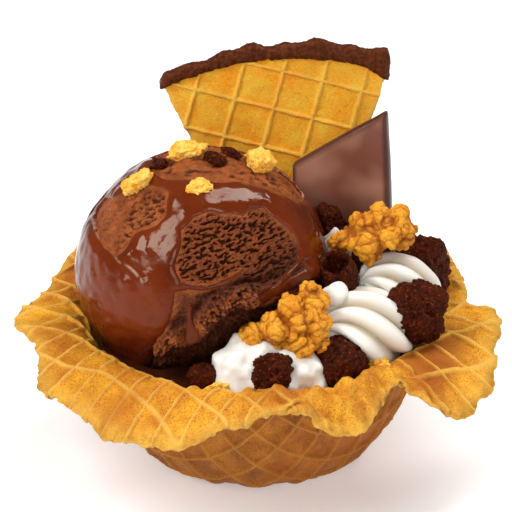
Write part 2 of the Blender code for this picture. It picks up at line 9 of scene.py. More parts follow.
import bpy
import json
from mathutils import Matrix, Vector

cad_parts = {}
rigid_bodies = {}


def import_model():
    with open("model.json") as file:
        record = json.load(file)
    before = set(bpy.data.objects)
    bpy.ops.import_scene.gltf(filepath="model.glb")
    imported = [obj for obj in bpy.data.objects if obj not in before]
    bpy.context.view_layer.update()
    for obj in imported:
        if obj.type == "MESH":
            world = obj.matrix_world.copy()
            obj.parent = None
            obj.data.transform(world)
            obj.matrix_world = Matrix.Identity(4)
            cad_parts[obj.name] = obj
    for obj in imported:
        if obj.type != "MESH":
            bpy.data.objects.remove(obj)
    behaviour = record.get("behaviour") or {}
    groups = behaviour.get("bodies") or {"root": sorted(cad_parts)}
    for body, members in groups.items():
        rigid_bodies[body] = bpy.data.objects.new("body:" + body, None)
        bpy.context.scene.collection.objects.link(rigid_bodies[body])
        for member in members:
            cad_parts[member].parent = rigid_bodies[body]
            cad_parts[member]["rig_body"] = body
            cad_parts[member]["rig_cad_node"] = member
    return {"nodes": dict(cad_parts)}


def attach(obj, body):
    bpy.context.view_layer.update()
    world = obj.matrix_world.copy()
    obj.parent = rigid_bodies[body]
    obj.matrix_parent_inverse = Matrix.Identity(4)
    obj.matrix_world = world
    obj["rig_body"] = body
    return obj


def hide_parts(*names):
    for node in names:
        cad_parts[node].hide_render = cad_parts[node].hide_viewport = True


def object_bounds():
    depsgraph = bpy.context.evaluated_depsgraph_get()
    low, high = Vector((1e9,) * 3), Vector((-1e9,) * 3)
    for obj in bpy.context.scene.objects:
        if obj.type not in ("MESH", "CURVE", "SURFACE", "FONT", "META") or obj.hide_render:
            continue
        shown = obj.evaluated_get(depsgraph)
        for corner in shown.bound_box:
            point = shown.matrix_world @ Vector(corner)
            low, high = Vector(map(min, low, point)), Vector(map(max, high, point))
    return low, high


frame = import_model()
plain_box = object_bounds()
print("plain model from", plain_box[0], "to", plain_box[1])

# %% [markdown]
# Everything below is measured in millimetres, because that is how a cook would measure a sundae,
# and Blender wants metres. One factor turns one into the other. Numpy holds the points of a mesh,
# so that a whole surface can be shaped in one line.

# %% Tools and units
import json
import math
import random

import bpy
import numpy as np
from mathutils import Euler, Matrix, Vector, noise

MM = 0.001
print("Blender", bpy.app.version_string, "and one millimetre is", MM, "metres")

# %% [markdown]
# The picture is taken from 25 degrees above, from far away with a long lens, so that the bowl's rim
# keeps its width all round. The same tilt gives a way to say where a point of the sundae lies in
# the picture, which is how the edges of the sauce are placed later.

# %% Camera
CAMERA_TILT = math.radians(25)
CAMERA_DISTANCE = 2.5  # metres
CAMERA_LENS = 615.3  # millimetres, for a sensor of the width below
SENSOR_WIDTH = 36
FARTHEST_SEEN = 20  # metres
PICTURE_POINTS_PER_MM = 3.5
PICTURE_MIDDLE = 256
FOOT_ROW = 447  # the row of the picture where the middle of the foot lies
towards_camera = Vector((0, -math.cos(CAMERA_TILT), math.sin(CAMERA_TILT)))
picture_up = Vector((0, math.sin(CAMERA_TILT), math.cos(CAMERA_TILT)))
aim = picture_up * (FOOT_ROW - PICTURE_MIDDLE) / PICTURE_POINTS_PER_MM * MM
bpy.ops.object.camera_add(location=aim + towards_camera * CAMERA_DISTANCE)
camera = bpy.context.object
camera.rotation_euler = towards_camera.to_track_quat("Z", "Y").to_euler()
camera.data.lens = CAMERA_LENS
camera.data.sensor_width = SENSOR_WIDTH
camera.data.clip_end = FARTHEST_SEEN
bpy.context.scene.camera = camera


def in_picture(points):
    """Column and row of the picture for each point, as seen by the camera."""
    across = PICTURE_MIDDLE + points[:, 0] / MM * PICTURE_POINTS_PER_MM
    up = points @ np.array(picture_up)
    return np.stack([across, FOOT_ROW - up / MM * PICTURE_POINTS_PER_MM], axis=1)


def facing_camera(directions):
    """1 where a direction points at the camera, 0 where it points across and -1 where it points away."""
    return directions @ np.array(towards_camera)


print("camera at", camera.location)

# %% [markdown]
# The sundae stands on plain white in plain soft light. A tall softbox from the front left makes the
# broad soft shine on the sauce, one overhead makes the shine near its top, one by the camera lights
# the wafer and the bowl's wall, and a weak one keeps the right side from going dark. The white all
# around fills the rest.

# %% Floor, lights and surroundings
FLOOR_SIZE = 6.0
FLOOR_HEIGHT = -0.0003  # a hair below the foot
LIGHTS_AIM = Vector((0, 0, 0.05))
ROOM_COLOUR = (1, 0.99, 0.97, 1)
ROOM_STRENGTH = 0.12
LIGHTS = (
    # name, direction from the sundae, distance, width, height, watts
    ("softbox_left", (-0.61, -0.36, 0.71), 0.9, 0.36, 0.64, 6.5),
    ("softbox_top", (0.38, 0.2, 0.91), 0.9, 0.3, 0.75, 6.2),
    ("softbox_front", (0.1, -0.93, 0.36), 1.2, 0.6, 0.5, 4.2),
    ("softbox_right", (0.85, -0.45, 0.35), 1.0, 0.5, 0.5, 0.7),
)
bpy.ops.mesh.primitive_plane_add(size=FLOOR_SIZE, location=(0, 0, FLOOR_HEIGHT))
floor = bpy.context.object
floor.name = "floor"
for name, direction, distance, width, height, watts in LIGHTS:
    direction = Vector(direction).normalized()
    bpy.ops.object.light_add(type="AREA", location=LIGHTS_AIM + direction * distance)
    lamp = bpy.context.object
    lamp.name = name
    lamp.rotation_euler = direction.to_track_quat("Z", "Y").to_euler()
    lamp.data.shape = "RECTANGLE"
    lamp.data.size = width
    lamp.data.size_y = height
    lamp.data.energy = watts
world = bpy.data.worlds.new("white_room")
world.use_nodes = True
world.node_tree.nodes["Background"].inputs["Color"].default_value = ROOM_COLOUR
world.node_tree.nodes["Background"].inputs["Strength"].default_value = ROOM_STRENGTH
bpy.context.scene.world = world
bpy.context.scene.view_settings.view_transform = "Standard"
print("lights:", [name for name, *_ in LIGHTS])

# %% [markdown]
# A few small helpers do what a hand does in the viewport: pick an object, pick some of its points,
# apply a modifier. An operator acts on all that is selected, so each helper deselects first.

# %% Helpers for picking and editing


def pick(obj):
    """Makes one object the only selected and active one."""
    bpy.ops.object.select_all(action="DESELECT")
    obj.select_set(True)
    bpy.context.view_layer.objects.active = obj


def place_in_mesh(obj):
    """Moves an object's place, turn and scale into its mesh."""
    pick(obj)
    bpy.ops.object.transform_apply(location=True, rotation=True, scale=True)


def edit_points(obj, chosen):
    """Enters edit mode with only the chosen points selected."""
    pick(obj)
    bpy.ops.object.mode_set(mode="EDIT")
    bpy.ops.mesh.select_mode(type="VERT")
    bpy.ops.mesh.select_all(action="DESELECT")
    bpy.ops.object.mode_set(mode="OBJECT")
    obj.data.vertices.foreach_set("select", np.asarray(chosen, bool))
    bpy.ops.object.mode_set(mode="EDIT")


def done_editing():
    bpy.ops.object.mode_set(mode="OBJECT")


def apply_modifier(obj, name):
    pick(obj)
    bpy.ops.object.modifier_apply(modifier=name)


def join_pieces(parts):
    """Joins several objects into the first one."""
    bpy.ops.object.select_all(action="DESELECT")
    for part in parts:
        part.select_set(True)
    bpy.context.view_layer.objects.active = parts[0]
    bpy.ops.object.join()
    return parts[0]


def even_skin(obj, face_size):
    """Rebuilds a closed surface from even faces of one size."""
    remesh = obj.modifiers.new("even_skin", "REMESH")
    remesh.mode = "VOXEL"
    remesh.voxel_size = face_size
    apply_modifier(obj, "even_skin")


# %% [markdown]
# Shapes are worked out for all points of a mesh at once, so its points and normals are read into
# arrays, and one number a point can be stored for a material to read.

# %% Helpers for points


def read_vectors(items, name):
    flat = np.empty(len(items) * 3, np.float32)
    items.foreach_get(name, flat)
    return flat.reshape(-1, 3).astype(float)


def points_of(obj):
    return read_vectors(obj.data.vertices, "co")


def normals_of(obj):
    return read_vectors(obj.data.vertex_normals, "vector")


def set_points(obj, points):
    obj.data.vertices.foreach_set("co", points.astype(np.float32).ravel())
    obj.data.update()


def push_out(obj, millimetres):
    """Moves every point along its own normal."""
    set_points(obj, points_of(obj) + normals_of(obj) * (millimetres * MM)[:, None])


def set_attribute(obj, name, values):
    """Stores one number a point, for a material to read."""
    kept = obj.data.attributes.get(name) or obj.data.attributes.new(name, "FLOAT", "POINT")
    kept.data.foreach_set("value", np.asarray(values, np.float32))


# %% [markdown]
# `grain` gives smooth random hills of a wanted size, the base of every crumbly or wavy surface here.
# The seed makes it the same on each run. The other three shape a value: a soft step, a stretch with
# soft ends, and a bell.

# %% Helpers for patterns
SEED_SHIFT = np.array((7.3, 3.1, 1.7))  # how far each seed moves the pattern


def pattern_places(points, size, seed):
    return (points / size + seed * SEED_SHIFT).tolist()


def grain(points, size, seed):
    """Smooth hills and hollows between -1 and 1, about as wide as size."""
    return np.array([noise.noise(place) for place in pattern_places(points, size, seed)])


def eased(low, high, values):
    """0 below low, 1 above high and a soft step between."""
    share = np.clip((values - low) / (high - low), 0, 1)
    return share * share * (3 - 2 * share)


def stretch(values, start, full, fade, end):
    """0 before start, 1 from full to fade and 0 after end."""
    return eased(start, full, values) * (1 - eased(fade, end, values))


def bell(values, width, middle=0):
    """1 at the middle, falling softly to 0 on both sides."""
    return np.exp(-(((values - middle) / width) ** 2))


trial = grain(np.arange(3000).reshape(-1, 3) * MM, 5 * MM, 1)
print("a grain of 5 mm runs from", round(trial.min(), 2), "to", round(trial.max(), 2))

# %% [markdown]
# Every finished piece is served in the same way: smooth shading, a name, a material, and its place
# in the shared frame. Its points are held inside the plain model's own box, so that the dressed
# sundae never grows past the true sizes.

# %% Serve a piece


def triangles_of(obj):
    return len(obj.data.loops) - 2 * len(obj.data.polygons)


def serve(obj, name, material, slot, *nodes):
    """Finishes a piece and puts it in place of its plain nodes."""
    pick(obj)
    bpy.ops.object.shade_smooth()
    obj.name = name
    obj.data.name = name
    obj.data.materials.clear()
    obj.data.materials.append(material)
    set_points(obj, np.clip(points_of(obj), np.array(plain_box[0]), np.array(plain_box[1])))
    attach(obj, "root")
    if nodes:
        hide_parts(*nodes)
    print(name, triangles_of(obj), "triangles")


# %% [markdown]
# Materials are node trees. A few helpers add nodes and join them, and colours are written as they
# are picked from a screen, 0 to 255, then turned to the linear light that Blender works in.

# %% Colours and nodes


def colour(red, green, blue):
    shares = [part / 255 for part in (red, green, blue)]
    return (*[((part + 0.055) / 1.055) ** 2.4 if part > 0.04 else part / 12.92 for part in shares], 1)


def feed(tree, node, inputs):
    """Sets a node's inputs to numbers, colours or the sockets of other nodes."""
    for name, value in inputs.items():
        if isinstance(value, bpy.types.NodeSocket):
            tree.links.new(value, node.inputs[name])
        else:
            node.inputs[name].default_value = value


def add_node(tree, kind, inputs, **settings):
    made = tree.nodes.new("ShaderNode" + kind)
    for name, value in settings.items():
        setattr(made, name, value)
    feed(tree, made, inputs)
    return made


def blend(tree, share, one, other):
    """A colour between one and other."""
    return add_node(tree, "Mix", {0: share, 6: one, 7: other}, data_type="RGBA").outputs[2]


def sums(tree, operation, one, other):
    return add_node(tree, "Math", {0: one, 1: other}, operation=operation).outputs[0]


def times(tree, one, other):
    return sums(tree, "MULTIPLY", one, other)


print("a screen's middle grey is", round(colour(128, 128, 128)[0], 3), "in linear light")

# %% [markdown]
# Every finish starts from the same few patterns: soft clouds, clouds sharpened to patches, and the
# numbers that the mesh carries. Bumps only add what is too fine for the mesh.

# %% Patterns and bumps


def steps(tree, value, low, high):
    """A value stretched so that low becomes 0 and high becomes 1."""
    inputs = {"Value": value, "From Min": low, "From Max": high}
    return add_node(tree, "MapRange", inputs, clamp=True).outputs["Result"]


def clouds(tree, place, scale, detail=3.0, roughness=0.55):
    """A soft random pattern with about scale patches a metre."""
    inputs = {"Vector": place, "Scale": scale, "Detail": detail, "Roughness": roughness}
    return add_node(tree, "TexNoise", inputs).outputs["Fac"]


def patches(tree, place, scale, detail, low, high, roughness=0.55):
    """Clouds stretched until they read as patches, 0 between them and 1 on them."""
    return steps(tree, clouds(tree, place, scale, detail, roughness), low, high)


def attribute(tree, name):
    return add_node(tree, "Attribute", {}, attribute_name=name).outputs["Fac"]


def new_material(name):
    material = bpy.data.materials.new(name)
    material.use_nodes = True
    tree = material.node_tree
    place = add_node(tree, "TexCoord", {}).outputs["Object"]
    print("material", name)
    return material, tree, tree.nodes["Principled BSDF"], place


def raise_bumps(tree, shader, height, distance, strength=1.0):
    """Feeds a height pattern to the shader's normal. The distance is in metres."""
    bump = add_node(tree, "Bump", {"Height": height, "Distance": distance, "Strength": strength})
    feed(tree, shader, {"Normal": bump.outputs["Normal"]})


# %% [markdown]
# Waffle, brownie, clusters and crumbs are all baked, and all show the same thing close up: a light
# and a dark tone in patches, with fine pores. That effect is one node group with its own inputs, so
# that each material sets its own colours and sizes. The group puts out a colour and a height.

# %% Group for baked grain
BAKED_INPUTS = {
    "Place": "Vector", "Patch scale": "Float", "Grain scale": "Float", "Dark": "Color",
    "Light": "Color", "Pore": "Color", "Pore share": "Float",
}
BAKED_OUTPUTS = {"Colour": "Color", "Height": "Float"}
baked_grain = bpy.data.node_groups.new("baked_grain", "ShaderNodeTree")
for way, sockets in (("INPUT", BAKED_INPUTS), ("OUTPUT", BAKED_OUTPUTS)):
    for name, kind in sockets.items():
        baked_grain.interface.new_socket(name, in_out=way, socket_type="NodeSocket" + kind)
given = baked_grain.nodes.new("NodeGroupInput").outputs
broad = clouds(baked_grain, given["Place"], given["Patch scale"], 4.0, 0.6)
fine = clouds(baked_grain, given["Place"], given["Grain scale"], 5.0, 0.65)
tone = sums(baked_grain, "ADD", times(baked_grain, broad, 0.5), times(baked_grain, fine, 0.5))
toned = blend(baked_grain, steps(baked_grain, tone, 0.4, 0.6), given["Dark"], given["Light"])
pores = times(baked_grain, steps(baked_grain, fine, 0.44, 0.34), given["Pore share"])
pored = blend(baked_grain, pores, toned, given["Pore"])
leave = baked_grain.nodes.new("NodeGroupOutput")
feed(baked_grain, leave, {"Colour": pored, "Height": fine})
print("node group", baked_grain.name, "with", len(baked_grain.nodes), "nodes")


def add_baked_grain(tree, place, patch_scale, grain_scale, dark, light, pore, pore_share):
    made = tree.nodes.new("ShaderNodeGroup")
    made.node_tree = baked_grain
    feed(tree, made, {
        "Place": place, "Patch scale": patch_scale, "Grain scale": grain_scale,
        "Dark": dark, "Light": light, "Pore": pore, "Pore share": pore_share,
    })
    return made.outputs["Colour"], made.outputs["Height"]


# %% [markdown]
# The floor is plain white paper. A little light of its own keeps it white up to the edge of the
# picture without one more lamp, which would flatten the shadows on the sundae.

# %% Floor material
floor_paper, tree, shader, place = new_material("white_paper")
feed(tree, shader, {
    "Base Color": (0.93, 0.93, 0.92, 1), "Roughness": 0.9,
    "Emission Color": (1, 1, 1, 1), "Emission Strength": 0.31,
})
floor.data.materials.append(floor_paper)

# %% [markdown]
# Waffle is golden, with pale raised lines, deeper orange cells and a bright broken edge. Some
# stretches are painted a glazed brown. That brown is partly syrup soaked in and partly painted shade
# where ruffles fold away from the light. Outside it is a darker ochre. A painted picture could show
# this, but it would not follow the lines, so the mesh carries numbers for the nodes to read: how high
# a point lies on a line, how near the rim it is, how much glaze and painted shade it takes, and
# whether it faces outwards.

# %% Waffle material


def waffle_material(name, scorched, pore_share, dark, light):
    material, tree, shader, place = new_material(name)
    inside, height = add_baked_grain(tree, place, 170, 2100, dark, light, colour(158, 76, 8), pore_share)
    ridge = attribute(tree, "ridge")
    inside = blend(tree, times(tree, ridge, 0.5), inside, colour(255, 206, 100))
    outer, _ = add_baked_grain(
        tree, place, 120, 2400, colour(130, 70, 16), colour(194, 120, 36), colour(104, 52, 10), 0.6,
    )
    outer = blend(tree, times(tree, ridge, 0.45), outer, colour(206, 140, 54))
    tone = blend(tree, attribute(tree, "outside"), inside, outer)
    toasted = times(tree, patches(tree, place, 38, 3.0, 0.50, 0.70), scorched)
    tone = blend(tree, toasted, tone, colour(178, 88, 16))
    # Glazed brown, partly syrup and partly painted shade of folded ruffles
    glaze_and_shade = times(tree, attribute(tree, "glaze_and_shade"), sums(tree, "SUBTRACT", 1.0, ridge))
    tone = blend(tree, glaze_and_shade, tone, colour(160, 74, 14))
    bright = times(tree, attribute(tree, "edge"), clouds(tree, place, 300))
    tone = blend(tree, bright, tone, colour(255, 200, 84))
    feed(tree, shader, {"Base Color": tone, "Roughness": 0.62, "Specular IOR Level": 0.25})
    raise_bumps(tree, shader, height, 0.0006)
    return material


bowl_waffle = waffle_material("bowl_waffle", 0.55, 0.7, colour(202, 118, 16), colour(252, 182, 44))
fan_waffle = waffle_material("fan_waffle", 0.2, 0.2, colour(255, 160, 20), colour(255, 205, 62))

# %% [markdown]
# The bowl is baked as a flat waffle disc and pressed hot into a mould, so it is made that way: a
# flat grid with lines close together where the raised lines are, draped over the mould by one
# function, and thickened more on the raised lines than between them. The rim's waves are given by
# azimuth, radius and height, and ease into each other.

# %% Flat waffle
LINE_OFFSETS = (0, 0.36, 0.7, 1.1, 2.1, 3.3, 4.6, 5.8, 7.1, 8.3, 9.3, 9.7, 10.04)
TABLE_PITCH = 10.4  # the pitch that the offsets above are for
RIDGE_TOP = 0.22 * MM  # half the flat top of a raised line
RIDGE_FOOT = 0.92 * MM  # where its slope ends


def flat_waffle(name, cells, pitch):
    """A square waffle sheet, cells wide, its mesh lines crowded onto the raised lines."""
    lines = len(LINE_OFFSETS)
    size = cells * pitch
    bpy.ops.mesh.primitive_grid_add(x_subdivisions=cells * lines, y_subdivisions=cells * lines, size=size)
    obj = bpy.context.object
    obj.name = name
    points = points_of(obj)
    offsets = np.array(LINE_OFFSETS) / TABLE_PITCH * pitch
    index = np.rint((points[:, :2] + size / 2) / (pitch / lines)).astype(int)
    points[:, :2] = index // lines * pitch + offsets[index % lines] - size / 2
    set_points(obj, points)
    return obj


def ridge_height(x, y, pitch, foot=RIDGE_FOOT):
    """1 on top of a raised line and 0 on the floor of a cell."""
    nearest = [np.abs((along + pitch / 2) % pitch - pitch / 2) for along in (x, y)]
    return 1 - eased(RIDGE_TOP, foot, np.minimum(*nearest))


def rim_points(obj):
    """Which points lie on the open edge of a sheet."""
    corners = np.empty(len(obj.data.loops), int)
    obj.data.loops.foreach_get("edge_index", corners)
    faces_on_edge = np.bincount(corners, minlength=len(obj.data.edges))
    ends = np.empty(len(obj.data.edges) * 2, int)
    obj.data.edges.foreach_get("vertices", ends)
    found = np.zeros(len(obj.data.vertices), bool)
    found[ends.reshape(-1, 2)[faces_on_edge == 1].ravel()] = True
    return found


print("a raised line is", round(2 * RIDGE_FOOT / MM, 2), "mm wide at its foot")

# %% [markdown]
# The mould is a bowl with a flat foot, a wall that curves up steeply and a flange whose edge runs in
# waves. The waves are read off the picture as a row of azimuths, radii and heights. A curve drawn by
# hand would be as good, but a table is easier to correct.

# %% The mould's rim
FOOT_RADIUS = 21.5 * MM
MOUTH_RADIUS = 49 * MM
MOUTH_HEIGHT = 38.5 * MM
WALL_POWER = 0.47
CELL_THICKNESS = 1.8 * MM
WAFFLE_PITCH = 10.4 * MM
WAFFLE_TURN = math.radians(45)
FLANGE_WIDTH = 22 * MM
FLANGE_RISE = 5.5 * MM
FLANGE_WAVES = (
    (-177, 69, 40.5), (-164, 65.5, 39), (-149, 69.5, 32), (-141, 67, 31.5),
    (-125, 70, 28.4), (-110, 68.5, 29), (-97, 64.5, 35.5), (-83, 61.5, 40),
    (-65, 66, 31.2), (-47, 57.5, 38.5), (-36, 72, 27.5), (-26, 74, 31.5),
    (-15, 71, 39), (-4.5, 70, 43), (3, 60.5, 43), (9, 60, 47.5), (14, 61, 46), (24, 61, 49),
    (45, 65, 44), (62, 61, 50), (80, 66, 44), (98, 62, 50), (116, 66, 44),
    (132, 61, 49), (148, 58, 51), (166, 62, 41),
)


def rim_wave(azimuth):
    """Radius and height of the rim at each azimuth."""
    waves = np.array(FLANGE_WAVES, float)
    stations = np.vstack([waves[-1] - (360, 0, 0), waves, waves[0] + (360, 0, 0)])
    degrees = np.degrees(azimuth)
    index = np.clip(np.searchsorted(stations[:, 0], degrees) - 1, 0, len(stations) - 2)
    low, high = stations[index], stations[index + 1]
    share = (degrees - low[:, 0]) / (high[:, 0] - low[:, 0])
    edge = low + (high - low) * ((1 - np.cos(math.pi * share)) / 2)[:, None]
    return edge[:, 1] * MM, edge[:, 2] * MM


print("the rim reaches", max(radius for _, radius, _ in FLANGE_WAVES), "mm from the middle")

# %% [markdown]
# A flat point keeps its distance along the surface when the disc is pressed, so the wall is measured
# along its length. Beyond the mouth the flange bends out to the rim in one soft curve.

# %% Press into the mould


def wall_line(stations=200):
    """Radius, height and length along the wall, from the middle of the foot to the mouth."""
    heights = MOUTH_HEIGHT * np.linspace(0, 1, stations) ** 2
    radii = FOOT_RADIUS + (MOUTH_RADIUS - FOOT_RADIUS) * (heights / MOUTH_HEIGHT) ** WALL_POWER
    radii, heights = np.concatenate([[0], radii]), np.concatenate([[0], heights])
    lengths = np.cumsum(np.hypot(np.diff(radii), np.diff(heights)))
    return radii, heights, np.concatenate([[0], lengths])


wall_radii, wall_heights, wall_lengths = wall_line()
wall_length = wall_lengths[-1]
disc_radius = wall_length + FLANGE_WIDTH


def azimuth_of(x, y):
    """Where a point of the flat disc comes to lie round the bowl, in radians."""
    return (np.arctan2(y, x) + WAFFLE_TURN + math.pi) % (2 * math.pi) - math.pi


def press(x, y):
    """Presses points of the flat disc into the mould."""
    flat = np.hypot(x, y)
    azimuth = azimuth_of(x, y)
    radius = np.interp(flat, wall_lengths, wall_radii)
    height = np.interp(flat, wall_lengths, wall_heights)
    edge_radius, edge_height = rim_wave(azimuth)
    slope = WALL_POWER * (MOUTH_RADIUS - FOOT_RADIUS) / MOUTH_HEIGHT
    rise = FLANGE_RISE / math.hypot(slope, 1)
    t = np.clip((flat - wall_length) / FLANGE_WIDTH, 0, 1)
    start, bend, end = (1 - t) ** 2, 2 * t * (1 - t), t**2
    flange_radius = start * MOUTH_RADIUS + bend * (MOUTH_RADIUS + rise * slope) + end * edge_radius
    flange_height = start * MOUTH_HEIGHT + bend * (MOUTH_HEIGHT + rise) + end * edge_height
    radius = np.where(flat > wall_length, flange_radius, radius)
    height = np.where(flat > wall_length, flange_height, height) + CELL_THICKNESS / 2
    return np.stack([radius * np.cos(azimuth), radius * np.sin(azimuth), height], axis=1)


print("the flat disc is", round(disc_radius * 2 / MM), "mm across")

# %% [markdown]
# A waffle is thick on its raised lines, thin between them and thinner still at its broken rim. The
# Solidify modifier gives a sheet such a thickness when a vertex group holds the share for each point.

# %% Thickness of a waffle
CELL_HOLLOW = 0.5 * MM  # how much thinner the middle of a cell is baked
RIDGE_THICKNESS = 3.2 * MM
RIM_TAPER = 1.8 * MM  # the last stretch, where the waffle thins to its broken edge
THINNEST_SHARE = 0.2


def thicken(obj, shares):
    """Gives a sheet its thickness: shares run from 0, thinnest, to 1, a raised line."""
    group = obj.vertex_groups.new(name="thickness")
    for index, share in enumerate(shares.tolist()):
        group.add([index], share, "REPLACE")
    before = len(obj.data.vertices)
    solidify = obj.modifiers.new("thickness", "SOLIDIFY")
    solidify.thickness = RIDGE_THICKNESS
    solidify.offset = 0
    solidify.vertex_group = "thickness"
    solidify.thickness_vertex_group = THINNEST_SHARE
    apply_modifier(obj, "thickness")
    obj.vertex_groups.clear()
    print("thickened", before, "points to", len(obj.data.vertices))


def thickness_share(ridge, rim):
    """Turns a wanted thickness into the share that the modifier reads."""
    cell = CELL_THICKNESS - CELL_HOLLOW
    wanted = (cell + (RIDGE_THICKNESS - cell) * ridge) / RIDGE_THICKNESS
    tapered = wanted * (0.5 + 0.5 * np.sqrt(rim))
    return np.clip((tapered - THINNEST_SHARE) / (1 - THINNEST_SHARE), 0, 1)


# %% [markdown]
# The disc is cut from the flat sheet by deleting what lies outside it, and its rim is pulled onto a
# ragged circle. The pressing then only has to move points.

# %% Cut the disc
RAGGED_RIM = 0.9 * MM
bowl = flat_waffle("bowl", 2 * math.ceil(disc_radius / WAFFLE_PITCH), WAFFLE_PITCH)
flat = points_of(bowl)
edit_points(bowl, np.hypot(flat[:, 0], flat[:, 1]) > disc_radius - 0.4 * MM)
bpy.ops.mesh.delete(type="VERT")
done_editing()
flat = points_of(bowl)
distance = np.hypot(flat[:, 0], flat[:, 1])
on_rim = rim_points(bowl)
ragged = disc_radius + RAGGED_RIM * (grain(flat, 5 * MM, 12) + 0.25 * grain(flat, 2.4 * MM, 15) - 0.5)
flat[on_rim] *= (ragged / distance)[on_rim][:, None]
distance = np.hypot(flat[:, 0], flat[:, 1])
to_rim = disc_radius - distance
print("the disc has", len(flat), "points,", on_rim.sum(), "of them on its rim")

# %% [markdown]
# Three stretches of the flange are painted a glazed brown. Along the crest in front the batter
# crumpled and lost its lines, and the crest takes the same brown in patches. The brown is partly
# syrup soaked in and partly painted shade, where the far-left ruffle and the crest's folds turn from
# the light. These stretches are given by four azimuths in degrees, from where each starts to where
# it ends.

# %% Press the bowl
FADED_LINES = (-84, -70, -44, -34)
CREST = (-92, -78, -44, -32)
GLAZE_AND_SHADE_RIGHT = (-42, -32, -16, -6)
GLAZE_AND_SHADE_ELSEWHERE = ((0.5, (-176, -170, -156, -146)), (0.8, (146, 154, 170, 178)))
azimuth = np.degrees(azimuth_of(flat[:, 0], flat[:, 1]))
on_flange = eased(wall_length - 2 * MM, wall_length + 6 * MM, distance)
on_crest = on_flange * stretch(azimuth, *CREST)
ridge = ridge_height(flat[:, 0], flat[:, 1], WAFFLE_PITCH)
ridge *= eased(FOOT_RADIUS + 2 * MM, FOOT_RADIUS + 8 * MM, distance)
ridge *= 1 - 0.85 * on_flange * stretch(azimuth, *FADED_LINES)
# Painted glaze and shade: syrup browning and the shade of folded ruffles, in one mark
glaze_and_shade = on_flange * stretch(azimuth, *GLAZE_AND_SHADE_RIGHT) * eased(3 * MM, 8 * MM, to_rim)
for share, azimuths in GLAZE_AND_SHADE_ELSEWHERE:
    glaze_and_shade += share * on_flange * stretch(azimuth, *azimuths)
glaze_and_shade += 0.6 * on_crest * np.clip(grain(flat, 7 * MM, 16) * 1.5 + 0.3, 0, 1)
set_attribute(bowl, "glaze_and_shade", 0.75 * glaze_and_shade)
set_attribute(bowl, "ridge", ridge)
set_attribute(bowl, "edge", 1 - eased(0, 5 * MM, to_rim))
set_points(bowl, press(flat[:, 0], flat[:, 1]))
sheet_points = points_of(bowl)
waves = on_flange * 0.5 * grain(sheet_points, 6 * MM, 3)
waves += on_crest * (2.6 * grain(sheet_points, 5 * MM, 9) + 1.5 * grain(sheet_points, 2.4 * MM, 10))
push_out(bowl, waves)
sheet_points, sheet_normals = points_of(bowl), normals_of(bowl)
thicken(bowl, thickness_share(ridge, np.clip(to_rim / RIM_TAPER, 0, 1)))

# %% [markdown]
# A pressed waffle is never quite smooth. Small hills a few millimetres wide and finer ones under a
# millimetre are added along the surface's own normals, with more of them near the broken rim, and
# the side that faces out is marked.

# %% Roughen the bowl
shell = points_of(bowl)
lifted = shell - np.concatenate([sheet_points, sheet_points])
outwards = np.einsum("ij,ij->i", lifted, np.concatenate([sheet_normals, sheet_normals]))
upwards = sheet_normals[0, 2] > 0
set_attribute(bowl, "outside", (outwards < 0) if upwards else (outwards > 0))
above_foot = eased(1.0 * MM, 4 * MM, shell[:, 2])
near_rim = 1 - eased(1.5 * MM, 4 * MM, np.concatenate([to_rim, to_rim]))
rumple = 0.3 * grain(shell, 4 * MM, 3) + 0.28 * grain(shell, 1.6 * MM, 4)
rumple += near_rim * (0.5 * grain(shell, 2.6 * MM, 13) + 0.18 * grain(shell, 1.3 * MM, 14))
push_out(bowl, rumple * above_foot)
serve(bowl, "pressed_bowl", bowl_waffle, "waffle", "waffle_bowl")

# %% [markdown]
# The fan is cut from a flat waffle with finer lines. Its two straight sides are cut by bisecting,
# its round side by dropping what lies outside and pulling the edge onto the arc. It is made lying
# flat with its point at the origin, where angles are easy, and stood up in the fudge at the end.

# %% Where the fan stands
WAFER_POINT = Vector((11.5, 29.2, 18)) * MM
WAFER_LEAN = math.radians(8)
fan_stand = Matrix.Translation(WAFER_POINT) @ Matrix.Rotation(math.radians(90) - WAFER_LEAN, 4, "X")
stand_turn = np.array(fan_stand.to_3x3())
stand_place = np.array(fan_stand.translation)


def stand_up(obj):
    """Moves a piece made flat round the fan's point to where the fan stands."""
    set_points(obj, points_of(obj) @ stand_turn.T + stand_place)


def angle_and_reach(flat):
    """Angle from the fan's middle line and distance from its point."""
    return np.arctan2(flat[:, 0], flat[:, 1]), np.hypot(flat[:, 0], flat[:, 1])


print("the fan's point stands at", WAFER_POINT / MM)

# %% [markdown]
# The sheet's lines run at a slant over the fan, so the flat sheet is turned and shifted before it is
# cut. A cut through the mesh leaves clean edges, which a little noise then makes ragged.

# %% Cut the fan
WAFER_RADIUS = 86.5 * MM
WAFER_INTO_DIP = 2.0 * MM
WAFER_LEFT = math.radians(26)
WAFER_RIGHT = math.radians(17.5)
WAFER_TIP = 12 * MM
WAFER_CELLS = 16
WAFER_PITCH = 11.5 * MM
WAFER_GRID_TURN = math.radians(-14.5)
WAFER_GRID_SHIFT = np.array((-1.2, -1.6)) * MM
CUT_SLACK = math.radians(6)  # left outside the straight sides for the bisecting to cut
RAGGED_SIDE = 0.35 * MM
grid_turn = np.array(Matrix.Rotation(WAFER_GRID_TURN, 2))
fan_reach = WAFER_RADIUS + WAFER_INTO_DIP
fan = flat_waffle("fan", WAFER_CELLS, WAFER_PITCH)
flat = points_of(fan)
flat[:, :2] = (flat[:, :2] + WAFER_GRID_SHIFT) @ grid_turn.T
set_points(fan, flat)
angle, reach = angle_and_reach(flat)
far_off = (angle < -WAFER_LEFT - CUT_SLACK) | (angle > WAFER_RIGHT + CUT_SLACK)
edit_points(fan, far_off | (reach > fan_reach) | (reach < WAFER_TIP))
bpy.ops.mesh.delete(type="VERT")
bpy.ops.mesh.select_all(action="SELECT")
bpy.ops.mesh.subdivide(number_cuts=1)
